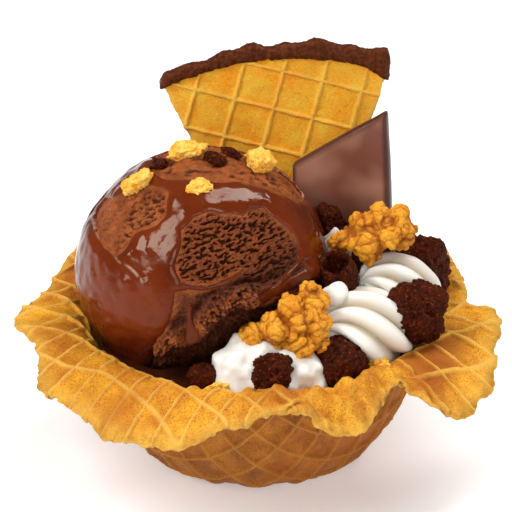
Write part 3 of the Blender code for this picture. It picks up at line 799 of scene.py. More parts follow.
for side, sign in ((-WAFER_LEFT, -1), (WAFER_RIGHT, 1)):
    bpy.ops.mesh.select_all(action="SELECT")
    outwards = (sign * math.cos(side), -sign * math.sin(side), 0)
    bpy.ops.mesh.bisect(plane_co=(0, 0, 0), plane_no=outwards, clear_outer=True)
done_editing()
flat = points_of(fan)
angle, reach = angle_and_reach(flat)
on_arc = rim_points(fan) & (reach > fan_reach - 2 * MM)
flat[on_arc] *= (fan_reach / reach)[on_arc][:, None]
on_side = rim_points(fan) & ~on_arc
flat[on_side, :2] += RAGGED_SIDE * np.stack([grain(flat[on_side], 2 * MM, seed) for seed in (5, 6)], axis=1)
set_points(fan, flat)
print("the fan has", len(flat), "points")

# %% [markdown]
# Once cut, the fan is pressed like the bowl: thick on its lines, thin between them and thinnest at
# its broken sides. Its round side stays thick, because it goes into the chocolate.

# %% Wafer fan
WAFER_LINE_SHARE = 0.75  # its lines are lower than the bowl's
WAFER_LINE_FOOT = 0.8 * MM
angle, reach = angle_and_reach(flat)
on_lattice = flat[:, :2] @ grid_turn - WAFER_GRID_SHIFT
ridge = WAFER_LINE_SHARE * ridge_height(on_lattice[:, 0], on_lattice[:, 1], WAFER_PITCH, WAFER_LINE_FOOT)
to_side = np.minimum(angle + WAFER_LEFT, WAFER_RIGHT - angle) * reach
set_attribute(fan, "ridge", ridge)
set_attribute(fan, "edge", 1 - eased(0, 3 * MM, to_side))
thicken(fan, thickness_share(ridge, np.clip(to_side / RIM_TAPER + 0.25, 0, 1)))
shell = points_of(fan)
push_out(fan, 0.4 * grain(shell, 4.5 * MM, 7) + 0.2 * grain(shell, 1.3 * MM, 8))
stand_up(fan)
serve(fan, "cut_wafer", fan_waffle, "waffle", "wafer_fan")

# %% [markdown]
# Chocolate shows in two finishes here. Where it was dipped it is dark and rough with tiny bubbles,
# and where it set against a flat mould it is paler, smooth and shiny in slow waves. One function
# makes both, because only the tones and the sizes differ.

# %% Dark chocolate material


def chocolate_material(name, deep, pale, roughness, shine, tint, blotch_scale, bump_scale, bump_height):
    material, tree, shader, place = new_material(name)
    tone = blend(tree, patches(tree, place, blotch_scale, 2.0, 0.38, 0.62), deep, pale)
    # Painted shade along the slab's rounded edge, where the edge attribute is set
    tone = blend(tree, attribute(tree, "edge"), tone, colour(66, 24, 12))
    feed(tree, shader, {
        "Base Color": tone, "Roughness": roughness, "Specular IOR Level": shine, "Specular Tint": tint,
    })
    raise_bumps(tree, shader, clouds(tree, place, bump_scale, 3.0), bump_height, 0.6)
    return material


dip_chocolate = chocolate_material(
    "dip_chocolate", colour(64, 25, 8), colour(96, 42, 16), 0.36, 0.16, (1, 0.75, 0.5, 1), 900, 1100, 0.0008,
)
slab_chocolate = chocolate_material(
    "slab_chocolate", colour(118, 68, 52), colour(164, 114, 94), 0.3, 0.3, (1, 1, 1, 1), 52, 300, 0.00008,
)

# %% [markdown]
# The chocolate on the fan's round side set as it dripped, so its lower edge is wavy and its top is
# lumpy, and it hangs lower at its thick right end. A circle is spun round the fan's point to a curved
# rod, whose section is then squared a little and made deeper and shallower along the way.

# %% Dipped edge
DIP_INNER = WAFER_RADIUS - 0.5 * MM
DIP_DEPTH = 5.4 * MM
DIP_DROOP = 2.2 * MM  # how far the thick right end hangs down
DIP_THICKNESS = 4.0 * MM
DIP_SECTION = 28
DIP_STATIONS = 260
DIP_OVERLAP = 1.03  # the dip reaches a little past the wafer's two corners
SQUARENESS = 0.6
rod_radius = 0.5 * MM
bpy.ops.mesh.primitive_circle_add(
    vertices=DIP_SECTION, radius=rod_radius, fill_type="NGON", rotation=(0, math.radians(90), 0),
    location=(0, DIP_INNER, 0),
)
dip = bpy.context.object
place_in_mesh(dip)
left_turn = np.array(Matrix.Rotation(WAFER_LEFT, 3, "Z"))
set_points(dip, points_of(dip) @ left_turn.T)
edit_points(dip, np.ones(DIP_SECTION, bool))
bpy.ops.mesh.spin(
    steps=DIP_STATIONS, angle=WAFER_LEFT + WAFER_RIGHT, center=(0, 0, 0), axis=(0, 0, 1), dupli=False,
)
bpy.ops.mesh.select_all(action="SELECT")
bpy.ops.mesh.normals_make_consistent(inside=False)
done_editing()
rod = points_of(dip)
angle, reach = angle_and_reach(rod)
along = np.clip((angle + WAFER_LEFT) / (WAFER_LEFT + WAFER_RIGHT), 0, 1)
wave = (0.55 * np.sin(along * 21) + 0.4 * np.sin(along * 47 + 1)) * MM
ends = np.minimum(1, 5 * np.sqrt(np.maximum(along * (1 - along), 0.0015)))
droop = DIP_DROOP * eased(0.88, 0.97, along)
depth = (DIP_DEPTH * (0.62 + 0.5 * along) + wave + droop) * ends
up, out = (reach - DIP_INNER) / rod_radius, rod[:, 2] / rod_radius
squared_up = np.sign(up) * np.abs(up) ** SQUARENESS * depth / 2
squared_out = np.sign(out) * np.abs(out) ** SQUARENESS * DIP_THICKNESS / 2 * ends
reach = DIP_INNER - droop + depth / 2 + squared_up
middle = (WAFER_RIGHT - WAFER_LEFT) / 2
angle = middle + (angle - middle) * DIP_OVERLAP
rod = np.stack([reach * np.sin(angle), reach * np.cos(angle), squared_out], axis=1)
set_points(dip, rod)
push_out(dip, 0.35 * grain(rod, 3.2 * MM, 21) + 0.3 * grain(rod, 1.0 * MM, 22))
stand_up(dip)
serve(dip, "wafer_dip", dip_chocolate, "chocolate", "dipped_edge")

# %% [markdown]
# Two pieces need to know how far a point lies inside an outline: the slab, which gets painted
# shade along its rounded edge, and the scoop, where the sauce leaves patches bare.

# %% Distance inside an outline


def gap_to_lines(starts, ends, spots):
    """Distance of each spot from the nearest of some straight lines."""
    gap = np.full(len(spots), np.inf)
    for start, end in zip(starts, ends):
        edge, offset = end - start, spots - start
        share = np.clip(offset @ edge / (edge @ edge), 0, 1)
        gap = np.minimum(gap, np.hypot(*(offset - share[:, None] * edge).T))
    return gap


def inside_by(outline, spots):
    """How far inside a flat outline each spot lies, and below 0 outside it."""
    starts = np.array(outline, float)
    ends = np.roll(starts, -1, axis=0)
    inside = np.zeros(len(spots), bool)
    for start, end in zip(starts, ends):
        if start[1] != end[1]:
            edge, offset = end - start, spots - start
            crossing = (start[1] > spots[:, 1]) != (end[1] > spots[:, 1])
            inside ^= crossing & (offset[:, 0] < edge[0] * offset[:, 1] / edge[1])
    gap = gap_to_lines(starts, ends, spots)
    return np.where(inside, gap, -gap)


square = ((0, 0), (4, 0), (4, 4), (0, 4))
print("inside and beside a square 4 wide:", inside_by(square, np.array(((2, 2), (6, 2)))))

# %% [markdown]
# The slab is a piece snapped from a thin bar. A flat face's corners are pulled to its outline, it is
# extruded to its thickness, its edges are bevelled as a mould leaves them, and its face gets the
# slow waves that make its shine uneven. Waves need many points, which a voxel remesh gives evenly.

# %% Chocolate slab
SLAB_FOOT = Vector((11.4, 25.2, 46)) * MM
SLAB_YAW = math.radians(-18.6)
SLAB_LEAN = math.radians(6)
SLAB_THICKNESS = 4.6 * MM
SLAB_CORNERS = ((-1.2, 0), (29.5, 0), (25.6, 50.2), (-1.8, 30.5))  # along and up, in millimetres
SLAB_BEVEL = 1.5 * MM
SLAB_FACE_SIZE = 0.7 * MM
bpy.ops.mesh.primitive_circle_add(vertices=4, radius=10 * MM, fill_type="NGON")
slab = bpy.context.object
corners = [(along * MM, up * MM, -SLAB_THICKNESS / 2) for along, up in SLAB_CORNERS]
set_points(slab, np.array(corners))
edit_points(slab, np.ones(4, bool))
bpy.ops.mesh.extrude_region_move(TRANSFORM_OT_translate={"value": (0, 0, SLAB_THICKNESS)})
bpy.ops.mesh.select_all(action="SELECT")
bpy.ops.mesh.normals_make_consistent(inside=False)
bpy.ops.mesh.bevel(offset=SLAB_BEVEL, segments=5, affect="EDGES")
done_editing()
stand = Matrix.Rotation(SLAB_YAW, 4, "Z") @ Matrix.Rotation(math.radians(90) - SLAB_LEAN, 4, "X")
slab.data.transform(Matrix.Translation(SLAB_FOOT) @ stand)
even_skin(slab, SLAB_FACE_SIZE)
points = points_of(slab)
on_slab = (points - np.array(SLAB_FOOT)) @ np.array(stand.to_3x3()) / MM
# Painted shade on the slab's rounded rim, darkest at the outline
set_attribute(slab, "edge", 0.9 * (1 - eased(0.5, 2.2, inside_by(SLAB_CORNERS, on_slab[:, :2]))))
push_out(slab, 0.35 * grain(points, 11 * MM, 31))
serve(slab, "snapped_slab", slab_chocolate, "chocolate", "chocolate_slab")

# %% [markdown]
# The scoop is a ball pulled through hard ice cream: smooth and streaky where the scoop slid, pitted
# in rows where the ice cream tore, and ragged in a collar at its foot. Sculpting could give that, but
# not the same each time. It starts as an even ball of triangles instead, whose points move out to
# the same skin as the plain model's.

# %% Scoop's skin
SCOOP_CENTRE = np.array((-15.6, 0, 57.4)) * MM
SCOOP_RADII = np.array((35.3, 34, 33)) * MM
SCOOP_AXIS = np.array(Vector((-0.54, 0.46, 0.70)).normalized())
COLLAR_POLAR = math.radians(127)
COLLAR_SPREAD = math.radians(6)
COLLAR_STANDS_OUT = 2.2 * MM
TORN_BASE_DEPTH = 3.0 * MM
FLAT_SHOULDER = np.array(Vector((-0.72, -0.1, 0.69)).normalized())
FLAT_SHOULDER_SPREAD = math.radians(32)
FLAT_SHOULDER_DEPTH = 2.6 * MM


def angle_between(directions, axis):
    return np.arccos(np.clip(directions @ axis, -1, 1))


def scoop_skin(directions):
    """The smooth skin of the scoop in each direction from its centre."""
    polar = angle_between(directions, SCOOP_AXIS)
    collar = bell(polar, COLLAR_SPREAD, COLLAR_POLAR)
    torn_and_shaded = np.clip((polar - COLLAR_POLAR) / COLLAR_SPREAD, 0, 1)
    smooth = SCOOP_CENTRE + directions * SCOOP_RADII
    ragged = grain(smooth, 7 * MM, 1)
    shoulder = bell(angle_between(directions, FLAT_SHOULDER), FLAT_SHOULDER_SPREAD)
    out = collar * COLLAR_STANDS_OUT * (0.7 + 0.9 * ragged) - torn_and_shaded * TORN_BASE_DEPTH * (1 + 0.5 * ragged)
    out -= FLAT_SHOULDER_DEPTH * shoulder
    return smooth + directions * out[:, None]


print("the scoop is", 2 * SCOOP_RADII / MM, "mm across")

# %% [markdown]
# Where the sauce lies is drawn as in the picture: bare patches have outlines in columns and rows of
# the picture, and every point of the ball knows how far inside or outside them it is. Behind, where
# the picture shows nothing, the sauce ends in a wavy line of runs.

# %% Outlines of the bare patches
LEFT_BAND = (
    (151, 187), (163, 188), (170, 194), (169, 216), (158, 226), (138, 234), (131, 246), (119, 258),
    (107, 248), (99, 232), (98, 214), (109, 200), (124, 196),
)
OVAL = (
    (182, 281), (177, 264), (182, 247), (184, 231), (194, 218), (210, 212), (230, 215), (244, 217),
    (250, 210), (262, 209), (276, 219), (290, 235), (298, 249), (296, 263), (283, 277), (270, 288),
    (256, 294), (242, 284), (241, 270), (226, 279), (208, 285), (194, 285),
)
BELOW_OVAL = (
    (177, 291), (190, 289), (205, 290), (224, 286), (242, 273), (256, 280), (275, 292), (300, 262),
    (312, 285), (330, 310), (300, 345), (240, 395), (150, 395), (138, 378), (146, 362), (155, 345),
    (168, 327), (174, 312),
)
TOP = (
    (152, 173), (160, 150), (200, 130), (262, 130), (300, 165), (310, 200), (296, 203), (276, 194),
    (258, 188), (240, 184), (220, 184), (200, 182), (180, 182), (164, 180),
)
BARE_PATCHES = (LEFT_BAND, OVAL, BELOW_OVAL, TOP)
PITTED_PATCHES = (
    OVAL,
    (
        (136, 196), (150, 188), (168, 196), (168, 214), (156, 224), (140, 230), (130, 246), (116, 252),
        (128, 218),
    ),
)
LEDGE = (
    (163, 343), (171, 336), (183, 335), (196, 331), (206, 319), (214, 310), (226, 303), (239, 297),
    (265, 296), (288, 291), (312, 284),
)
# The drip below the oval and the pool at its right: column and row of the picture, radius in mm.
DRIP = tuple((191 + 0.1 * step, 303 + 2.2 * step, 0.7 + 1.7 * (step / 14) ** 3) for step in range(15))
POOL = tuple((262 + 3 * step, 297 - 1.45 * step, 1.3 + 0.05 * step) for step in range(19))
print(len(BARE_PATCHES), "bare patches, a drip of", len(DRIP), "drops and a pool of", len(POOL))

# %% [markdown]
# One number for each point says how far inside the sauce it lies. In front it comes from the
# outlines, behind from a wavy line, and a soft step at the scoop's side joins the two.

# %% Where the sauce lies


def from_line(line, spots):
    """Distance in millimetres from a line of the picture, above 0 below the line and below 0 over it."""
    corners = np.array(line, float)
    row = np.interp(spots[:, 0], corners[:, 0], corners[:, 1])
    gap = gap_to_lines(corners[:-1], corners[1:], spots)
    return gap * np.sign(spots[:, 1] - row) / PICTURE_POINTS_PER_MM


def how_far_inside(outlines, spots):
    """How far inside any of the outlines each spot lies, in millimetres."""
    return np.max([inside_by(outline, spots) for outline in outlines], axis=0) / PICTURE_POINTS_PER_MM


def inside_share(outlines, spots):
    """0 outside the outlines and 1 well inside one of them."""
    return eased(-0.6, 1.6, how_far_inside(outlines, spots))


def distance_from(column, row, spots):
    """Distance in millimetres from one spot of the picture."""
    return np.hypot(spots[:, 0] - column, spots[:, 1] - row) / PICTURE_POINTS_PER_MM


def sauce_reach(directions, skin):
    """How far each point lies inside the sauce's edge, in millimetres, below 0 where it is bare."""
    spots = in_picture(skin)
    in_front = -how_far_inside(BARE_PATCHES, spots)
    for column, row, radius in DRIP + POOL:
        from_drop = np.minimum(radius - distance_from(column, row, spots), 1.2)
        in_front = np.maximum(in_front, from_drop)
    azimuth = np.arctan2(directions[:, 1], directions[:, 0])
    climb = np.degrees(np.arcsin(np.clip(directions[:, 2], -1, 1)))
    runs = 6 + 13 * np.sin(3 * azimuth + 0.6) + 9 * np.sin(7 * azimuth + 2)
    behind = (climb - runs) * 0.55
    front_share = eased(-0.22, 0.02, facing_camera(directions))
    ragged = 0.5 * grain(skin, 4 * MM, 61) + 0.4 * eased(270, 300, spots[:, 1]) * grain(skin, 1.7 * MM, 62)
    return in_front * front_share + behind * (1 - front_share) + ragged


straight_up = np.array(((0, 0, 1.0),))
top_reach = sauce_reach(straight_up, scoop_skin(straight_up))[0]
print("the scoop's top is", "covered" if top_reach > 0 else "bare", "by", round(abs(top_reach), 1), "mm")

# %% [markdown]
# Pits in the torn patches are longer than they are wide and run in rows that climb to the right.
# A random pattern squeezed across the rows gives them, with a wave to keep the rows apart.

# %% Rows of pits
ROW_CLIMB = math.radians(24)
PIT_LENGTH = 1.2
PIT_WIDTH = 0.58
ROW_SPACING = 1.65


def pits_in_rows(skin):
    """1 in a pit and 0 between pits."""
    spots = in_picture(skin) / PICTURE_POINTS_PER_MM
    across, up = spots[:, 0], -spots[:, 1]
    sway = 0.9 * grain(skin, 6 * MM, 71)
    along = across * math.cos(ROW_CLIMB) + up * math.sin(ROW_CLIMB)
    over = up * math.cos(ROW_CLIMB) - across * math.sin(ROW_CLIMB) + sway
    squeezed = np.stack([along / PIT_LENGTH, over / PIT_WIDTH, np.zeros(len(skin))], axis=1)
    rows = 0.16 * np.cos(2 * math.pi * over / ROW_SPACING)
    holes = 0.3 * grain(skin, 0.8 * MM, 79)
    return np.clip((grain(squeezed, 1, 72) + rows + holes - 0.05) * 3.6, 0, 1)


print("rows of pits lie", ROW_SPACING, "mm apart")

# %% [markdown]
# Pits need a fine mesh, but only where they are. The ball is split everywhere the sauce leaves it
# bare, once more in the patches that face the camera, and once more in the oval, which has the
# finest pits. That keeps the scoop under 200,000 triangles.

# %% Refine the ball
SCOOP_DETAIL = 7
NEAR_PATCH = 0.3  # millimetres round a patch that are refined with it
NEAR_LEDGE = 2.0  # and to both sides of the ledge
REFINED = (
    # how far a point must face the camera, and the patches it must lie in
    (-1, None),
    (-0.1, (LEFT_BAND, OVAL, BELOW_OVAL)),
    (0.1, (OVAL,)),
)


def unit_ball(detail):
    bpy.ops.mesh.primitive_ico_sphere_add(subdivisions=detail, radius=1)
    return bpy.context.object


def unit_directions(obj):
    points = points_of(obj)
    return points / np.linalg.norm(points, axis=1)[:, None]


scoop = unit_ball(SCOOP_DETAIL - 1)
for least_facing, outlines in REFINED:
    directions = unit_directions(scoop)
    skin = scoop_skin(directions)
    finer = (sauce_reach(directions, skin) < 0.6) & (facing_camera(directions) > least_facing)
    if outlines:
        spots = in_picture(skin)
        near = how_far_inside(outlines, spots) > -NEAR_PATCH
        finer &= near | (np.abs(from_line(LEDGE, spots)) < NEAR_LEDGE)
    edit_points(scoop, finer)
    bpy.ops.mesh.subdivide(number_cuts=1)
    done_editing()
    print("ice cream:", triangles_of(scoop), "triangles")

# %% [markdown]
# Now every point knows where it lies: how bare it is, whether the patch is pitted or torn, and how
# far it is from the ledge where the scoop left the tub. Each of these adds its own relief along the
# point's direction. The ledge has a crease over it, a crumbly crest, and an undercut below.

# %% Shape the ice cream
PIT_DEPTH = 1.2 * MM
LEDGE_HEIGHT = 3.0 * MM
LEDGE_HALF_WIDTH = 2.8  # millimetres, as the next two
CREASE_PLACE = -4.2
SHADOW_PLACE = 3.8
CREASE_DEPTH = 1.3 * MM
UNDERCUT_DEPTH = 2.4 * MM
TORN_FROM, TORN_TO = math.radians(104), math.radians(118)
LEDGE_COLUMNS = (120, 165)  # columns of the picture over which the ledge grows


def crumbs(points, size, seed):
    """Rounded grains with creases between them: 1 on a grain's top and near 0 in the creases."""
    nearest = np.array([noise.voronoi(place)[0][0] for place in pattern_places(points, size, seed)])
    return 1 - np.clip(nearest, 0, 1)


directions = unit_directions(scoop)
skin = scoop_skin(directions)
spots = in_picture(skin)
bare = eased(-0.2, 1.4, -sauce_reach(directions, skin))
facing = eased(0, 0.25, facing_camera(directions))
pitted = inside_share(PITTED_PATCHES, spots)
on_top = bare * inside_share((TOP,), spots)
lower = eased(-0.3, 2.2, how_far_inside((BELOW_OVAL,), spots))
torn_and_shaded = eased(TORN_FROM, TORN_TO, angle_between(directions, SCOOP_AXIS))
pits = pits_in_rows(skin) * bare * np.clip(pitted + 0.55 * torn_and_shaded + 0.12, 0, 1)
streaks = grain(skin * np.array((0.08, 0.35, 1)), 0.6 * MM, 73)
knobs = crumbs(skin, 2.2 * MM, 75) - 0.5
small_knobs = crumbs(skin, 0.95 * MM, 76) - 0.5
crumble = 1.3 * grain(skin, 3.6 * MM, 74) + 2.4 * knobs + 2.2 * small_knobs
below = from_line(LEDGE, spots) + 0.8 * grain(skin, 4 * MM, 78)
near_ledge = bell(below, LEDGE_HALF_WIDTH)
ledge = near_ledge * LEDGE_HEIGHT - bell(below, 1.2, CREASE_PLACE) * CREASE_DEPTH
undercut = eased(1.5, 4.0, below) * UNDERCUT_DEPTH
in_front = np.clip(near_ledge + 0.25 * lower + 0.6 * eased(2, 5, below), 0, 1)
crumbly = np.where(facing > 0.5, in_front, torn_and_shaded)
fine = (0.3 + 0.25 * on_top) * streaks + 0.25 * grain(skin, 0.75 * MM, 77) + 0.5 * pitted * small_knobs
out = bare * (fine + crumbly * crumble) * MM - PIT_DEPTH * pits
out += bare * facing * (ledge - undercut) * eased(*LEDGE_COLUMNS, spots[:, 0])
set_points(scoop, skin + directions * out[:, None])
# Painted shade in the crumbly creases, in the grooves of the streaks, over the ledge and under it
shade_in_creases = 1.2 * bare * crumbly * (1 - eased(-0.25, 0, small_knobs)) + on_top * eased(0.12, 0.4, -streaks)
shade_in_creases += 0.8 * lower * (bell(below, 1.3, CREASE_PLACE) + facing * bell(below, 1.4, SHADOW_PLACE))
set_attribute(scoop, "pit_and_crease_shade", np.clip(pits + shade_in_creases, 0, 1))
set_attribute(scoop, "dug", 0.8 * inside_share((OVAL,), spots))
# Torn lower part painted darker as shade under the scoop, and kept light on the lit ledge
set_attribute(scoop, "torn_and_shaded", np.clip(torn_and_shaded + 0.75 * lower * facing, 0, 1) * (1 - 0.9 * near_ledge * facing))
print("pits and creases darken", round(100 * np.mean(pits + shade_in_creases > 0.5)), "% of the points")

# %% [markdown]
# Chocolate ice cream is matte and warm brown, with a fine icy grain and painted shade down in its
# pits and creases. Its torn lower part is painted darker as the shade under the scoop, and kept
# lighter along the ledge, as painted light where the light falls on it. The numbers stored on the
# mesh say where the pits, creases and torn parts are, so the painted shade follows the shape.

# %% Ice cream material
ice_cream, tree, shader, place = new_material("ice_cream")
tone = patches(tree, place, 200, 5.0, 0.36, 0.64, 0.65)
tone = blend(tree, tone, colour(124, 58, 20), colour(170, 90, 42))
tone = blend(tree, attribute(tree, "dug"), tone, colour(114, 51, 17))
# Painted shade in the pits and creases, and under the scoop on its torn lower part
tone = blend(tree, times(tree, attribute(tree, "pit_and_crease_shade"), 0.85), tone, colour(48, 18, 6))
tone = blend(tree, times(tree, attribute(tree, "torn_and_shaded"), 0.8), tone, colour(70, 27, 9))
feed(tree, shader, {"Base Color": tone, "Roughness": 0.4, "Specular IOR Level": 0.18})
raise_bumps(tree, shader, clouds(tree, place, 1700, 4.0), 0.0007)
serve(scoop, "scooped_ice_cream", ice_cream, "ice_cream", "ice_cream_scoop")

# %% [markdown]
# The sauce was poured warm over the top and stopped as it cooled, so its edge is thick and rounded.
# It is a second ball over the same skin: where the sauce lies it stands almost a millimetre proud,
# swelling towards its edge, and in the bare patches it dives under the ice cream, out of sight. Low
# in front it ran thin, with a few thick drops. On the left a fine wrinkle crosses it, where its
# cold skin folded, and a pale painted highlight runs along the wrinkle.

# %% Pour the sauce
SAUCE_DEPTH = 0.85 * MM
SAUCE_ROUNDING = 1.9  # millimetres in from the edge where it has its full depth
SAUCE_DIVE = 7.5 * MM
WRINKLE = ((97, 220), (99, 230), (103, 240), (112, 250), (122, 260), (134, 268), (140, 274), (147, 282))
WRINKLE_WIDTH = 0.24  # millimetres
DROPLETS = (
    # column and row of the picture, radius and height in millimetres
    (128, 281, 2.2, 0.6), (150, 284, 2.4, 0.6), (98, 296, 1.8, 0.5), (110, 322, 2.0, 0.5),
)
THIN_ROWS = (245, 300)  # rows of the picture between which the sauce thins out
NEAR_EDGE = 2.0  # millimetres beside the sauce's edge where its mesh is finer
NEAR_WRINKLE = 1.5
sauce = unit_ball(SCOOP_DETAIL)
directions = unit_directions(sauce)
skin = scoop_skin(directions)
near_wrinkle = np.abs(from_line(WRINKLE, in_picture(skin))) < NEAR_WRINKLE
near_edge = np.abs(sauce_reach(directions, skin)) < NEAR_EDGE
edit_points(sauce, (near_edge | near_wrinkle) & (facing_camera(directions) > -0.1))
bpy.ops.mesh.subdivide(number_cuts=1)
done_editing()
directions = unit_directions(sauce)
skin = scoop_skin(directions)
spots = in_picture(skin)
facing = facing_camera(directions)
reach = sauce_reach(directions, skin)
climb = np.clip(reach / SAUCE_ROUNDING, 0, 1)
depth = SAUCE_DEPTH * np.sqrt(1 - (1 - climb) ** 2)
depth *= 1 + 0.2 * bell(reach, 1.3, 2.2)
depth += (0.55 * grain(skin, 9 * MM, 81) + 0.3 * grain(skin, 3.4 * MM, 82)) * climb * MM
# The wrinkle is a low raised line that also carries a pale painted highlight
wrinkle_and_highlight = bell(from_line(WRINKLE, spots), WRINKLE_WIDTH) * eased(-0.3, 0.1, grain(skin, 1.5 * MM, 83))
wrinkle_and_highlight *= eased(0, 0.2, facing)
depth += 0.3 * MM * wrinkle_and_highlight
thin = eased(*THIN_ROWS, spots[:, 1])
depth *= 1 - 0.35 * thin
for column, row, radius, height in DROPLETS:
    away = distance_from(column, row, spots) / radius
    depth += height * MM * np.clip(1 - away**2, 0, 1) ** 2 * (facing > 0)
depth += 0.12 * thin * climb * grain(skin, 1.8 * MM, 84) * MM
depth -= SAUCE_DIVE * np.clip(-reach, 0, 1)
set_points(sauce, skin + directions * depth[:, None])
set_attribute(sauce, "wrinkle_and_highlight", wrinkle_and_highlight)
set_attribute(sauce, "thin", thin)
print("the sauce is", round(depth.max() / MM, 2), "mm deep where it is thickest")

# %% [markdown]
# The sauce is the shiniest thing here, but not a mirror: it is a little dull in slow patches, and
# duller where it ran thin. Its reflections are tinted warm, as they are in syrup.

# %% Sauce material
sauce_gloss, tree, shader, place = new_material("sauce_gloss")
thinned = attribute(tree, "thin")
tone = blend(tree, patches(tree, place, 45, 2.0, 0.35, 0.65), colour(80, 26, 6), colour(110, 41, 11))
# Pale painted highlight along the wrinkle
tone = blend(tree, times(tree, attribute(tree, "wrinkle_and_highlight"), 0.3), tone, colour(226, 190, 160))
dull = times(tree, patches(tree, place, 150, 3.0, 0.42, 0.62), 0.14)
dull = sums(tree, "ADD", dull, times(tree, thinned, 0.13))
feed(tree, shader, {
    "Base Color": tone, "Roughness": sums(tree, "ADD", dull, 0.08),
    "Specular IOR Level": sums(tree, "SUBTRACT", 0.34, times(tree, thinned, 0.15)),
    "Specular Tint": (1, 0.88, 0.72, 1),
})
raise_bumps(tree, shader, clouds(tree, place, 240, 2.5), 0.0004, 0.7)
serve(sauce, "poured_sauce", sauce_gloss, "ice_cream")

# %% [markdown]
# Whipped cream is white, with painted warm grey shade in its creases and at the front dollop's
# foot, and a little light goes into it, which softens its shadows.

# %% Cream material
whipped_cream, tree, shader, place = new_material("whipped_cream")
# Painted warm grey shade in the creases, read from the mesh
feed(tree, shader, {
    "Base Color": blend(tree, attribute(tree, "crease_shade"), colour(238, 234, 225), colour(182, 160, 122)),
    "Roughness": 0.42, "Subsurface Weight": 0.25, "Subsurface Radius": (0.003, 0.0025, 0.002),
    "Subsurface Scale": 1.0,
})
raise_bumps(tree, shader, clouds(tree, place, 900, 3.0), 0.0001, 0.5)

# %% [markdown]
# Whipped cream comes from a star nozzle: soft ridges with creases between them, which turn as they
# run from the peak round to the back. A curve with a star section would do it, but the ridges would
# bunch up at the ends. A ball of rings and segments, with one ridge every few segments, closes by
# itself. It is pulled out to the swirl's radii along its own axis.

# %% Pipe the swirls
SEGMENTS_PER_RIDGE = 16
SWIRL_RINGS = 100
SWIRLS = (
    # name, node, centre, radii, towards, ridges, twist, depth, peak
    (
        "swirl_middle", "cream_middle", (30.8, -20, 46.8), (13.5, 12.0, 15.0),
        (-0.82, -0.5, 0.22), 7, 0.9, 0.27, 0.05,
    ),
    (
        "swirl_back", "cream_back", (40, -3.5, 50.9), (11.8, 11.0, 13.5),
        (-0.75, -0.5, 0.45), 7, 0.8, 0.26, 0.05,
    ),
    ("swirl_peak", "cream_peak", (22.4, 2.5, 60.5), (4.8, 4.8, 5.6), (0, 0, 1), 7, 0.4, 0.18, 0.35),
    ("swirl_rear", "cream_rear", (-14, 39.4, 42.2), (8.6, 8.0, 7.6), (0, 0, 1), 8, 0.6, 0.2, 0.4),
)
DAB_PLACE = Vector((22.6, -20.6, 56.2)) * MM  # a dab of cream beside the roll
DAB_RADII = (3.9, 3.4, 4.9)


def turned_towards(axis):
    """The turn that points a piece's own Z along an axis."""
    return np.array(Vector(axis).normalized().to_track_quat("Z", "Y").to_matrix())


def pipe(centre, radii, towards, ridges, twist, depth, peak):
    segments = ridges * SEGMENTS_PER_RIDGE
    bpy.ops.mesh.primitive_uv_sphere_add(segments=segments, ring_count=SWIRL_RINGS, radius=1)
    obj = bpy.context.object
    unit = unit_directions(obj)
    polar = np.arccos(np.clip(unit[:, 2], -1, 1))
    turn = np.arctan2(unit[:, 1], unit[:, 0])
    crest = np.abs(np.cos(ridges / 2 * (turn + twist * polar))) ** 0.8
    fade = np.minimum(np.sin(polar) * 1.6, 1)
    swell = 1 - depth * (1 - crest) * fade + 0.03 * grain(unit, 0.5, 90 + ridges)
    unit[:, 2] *= 1 + peak * bell(polar, 0.35)
    local = unit * np.array(radii) * swell[:, None] * MM
    set_points(obj, np.array(centre) * MM + local @ turned_towards(towards).T)
    # Painted shade in the creases between the ridges
    set_attribute(obj, "crease_shade", (1 - crest) * fade)
    return obj


def dab_of_cream():
    bpy.ops.mesh.primitive_uv_sphere_add(segments=48, ring_count=32, radius=MM, location=DAB_PLACE)
    dab = bpy.context.object
    dab.scale = DAB_RADII
    place_in_mesh(dab)
    push_out(dab, 1.6 * grain(points_of(dab), 4 * MM, 97))
    return dab


for name, node, *shape in SWIRLS:
    swirl = pipe(*shape)
    if name == "swirl_middle":
        swirl = join_pieces([swirl, dab_of_cream()])
    serve(swirl, name, whipped_cream, "cream", node)

# %% [markdown]
# The cream in front was dropped from a spoon: a low mound with a torn peak. It is built from balls
# placed where the picture shows its bulges, melted into one skin by a voxel remesh and smoothed. The
# same helper makes the golden clusters later.

# %% Drop the dollop
DOLLOP_LOBES = (
    # column and row of the picture, depth along Y and radius in millimetres
    (239, 337, -33, 2.4), (240, 347, -34, 4.3), (229, 362, -36, 4.6), (224, 370, -37, 3.4),
    (240, 368, -37, 7.2), (262, 362, -35, 7.6), (285, 366, -35, 7.0), (301, 371, -37, 6.4),
    (310, 381, -38, 4.6), (290, 383, -40.5, 5.0), (262, 385, -41.5, 5.5), (241, 384, -40.5, 5.0),
    (230, 382, -40.5, 3.8), (319, 388, -38, 2.8),
)
DOLLOP_VOXEL = 0.5 * MM
DOLLOP_SMOOTHING = 14


def from_picture(column, row, depth):
    """The place, in millimetres, seen at a column and row of the picture at a given depth along Y."""
    up = (FOOT_ROW - row) / PICTURE_POINTS_PER_MM
    across = (column - PICTURE_MIDDLE) / PICTURE_POINTS_PER_MM
    return Vector((across, depth, (up - depth * picture_up.y) / picture_up.z))


def melt_balls(balls, face_size):
    """Joins balls, given by centre and radius in millimetres, into one closed skin."""
    parts = []
    for place, radius in balls:
        bpy.ops.mesh.primitive_ico_sphere_add(subdivisions=3, radius=radius * MM, location=place * MM)
        parts.append(bpy.context.object)
    melted = join_pieces(parts)
    even_skin(melted, face_size)
    place_in_mesh(melted)
    return melted


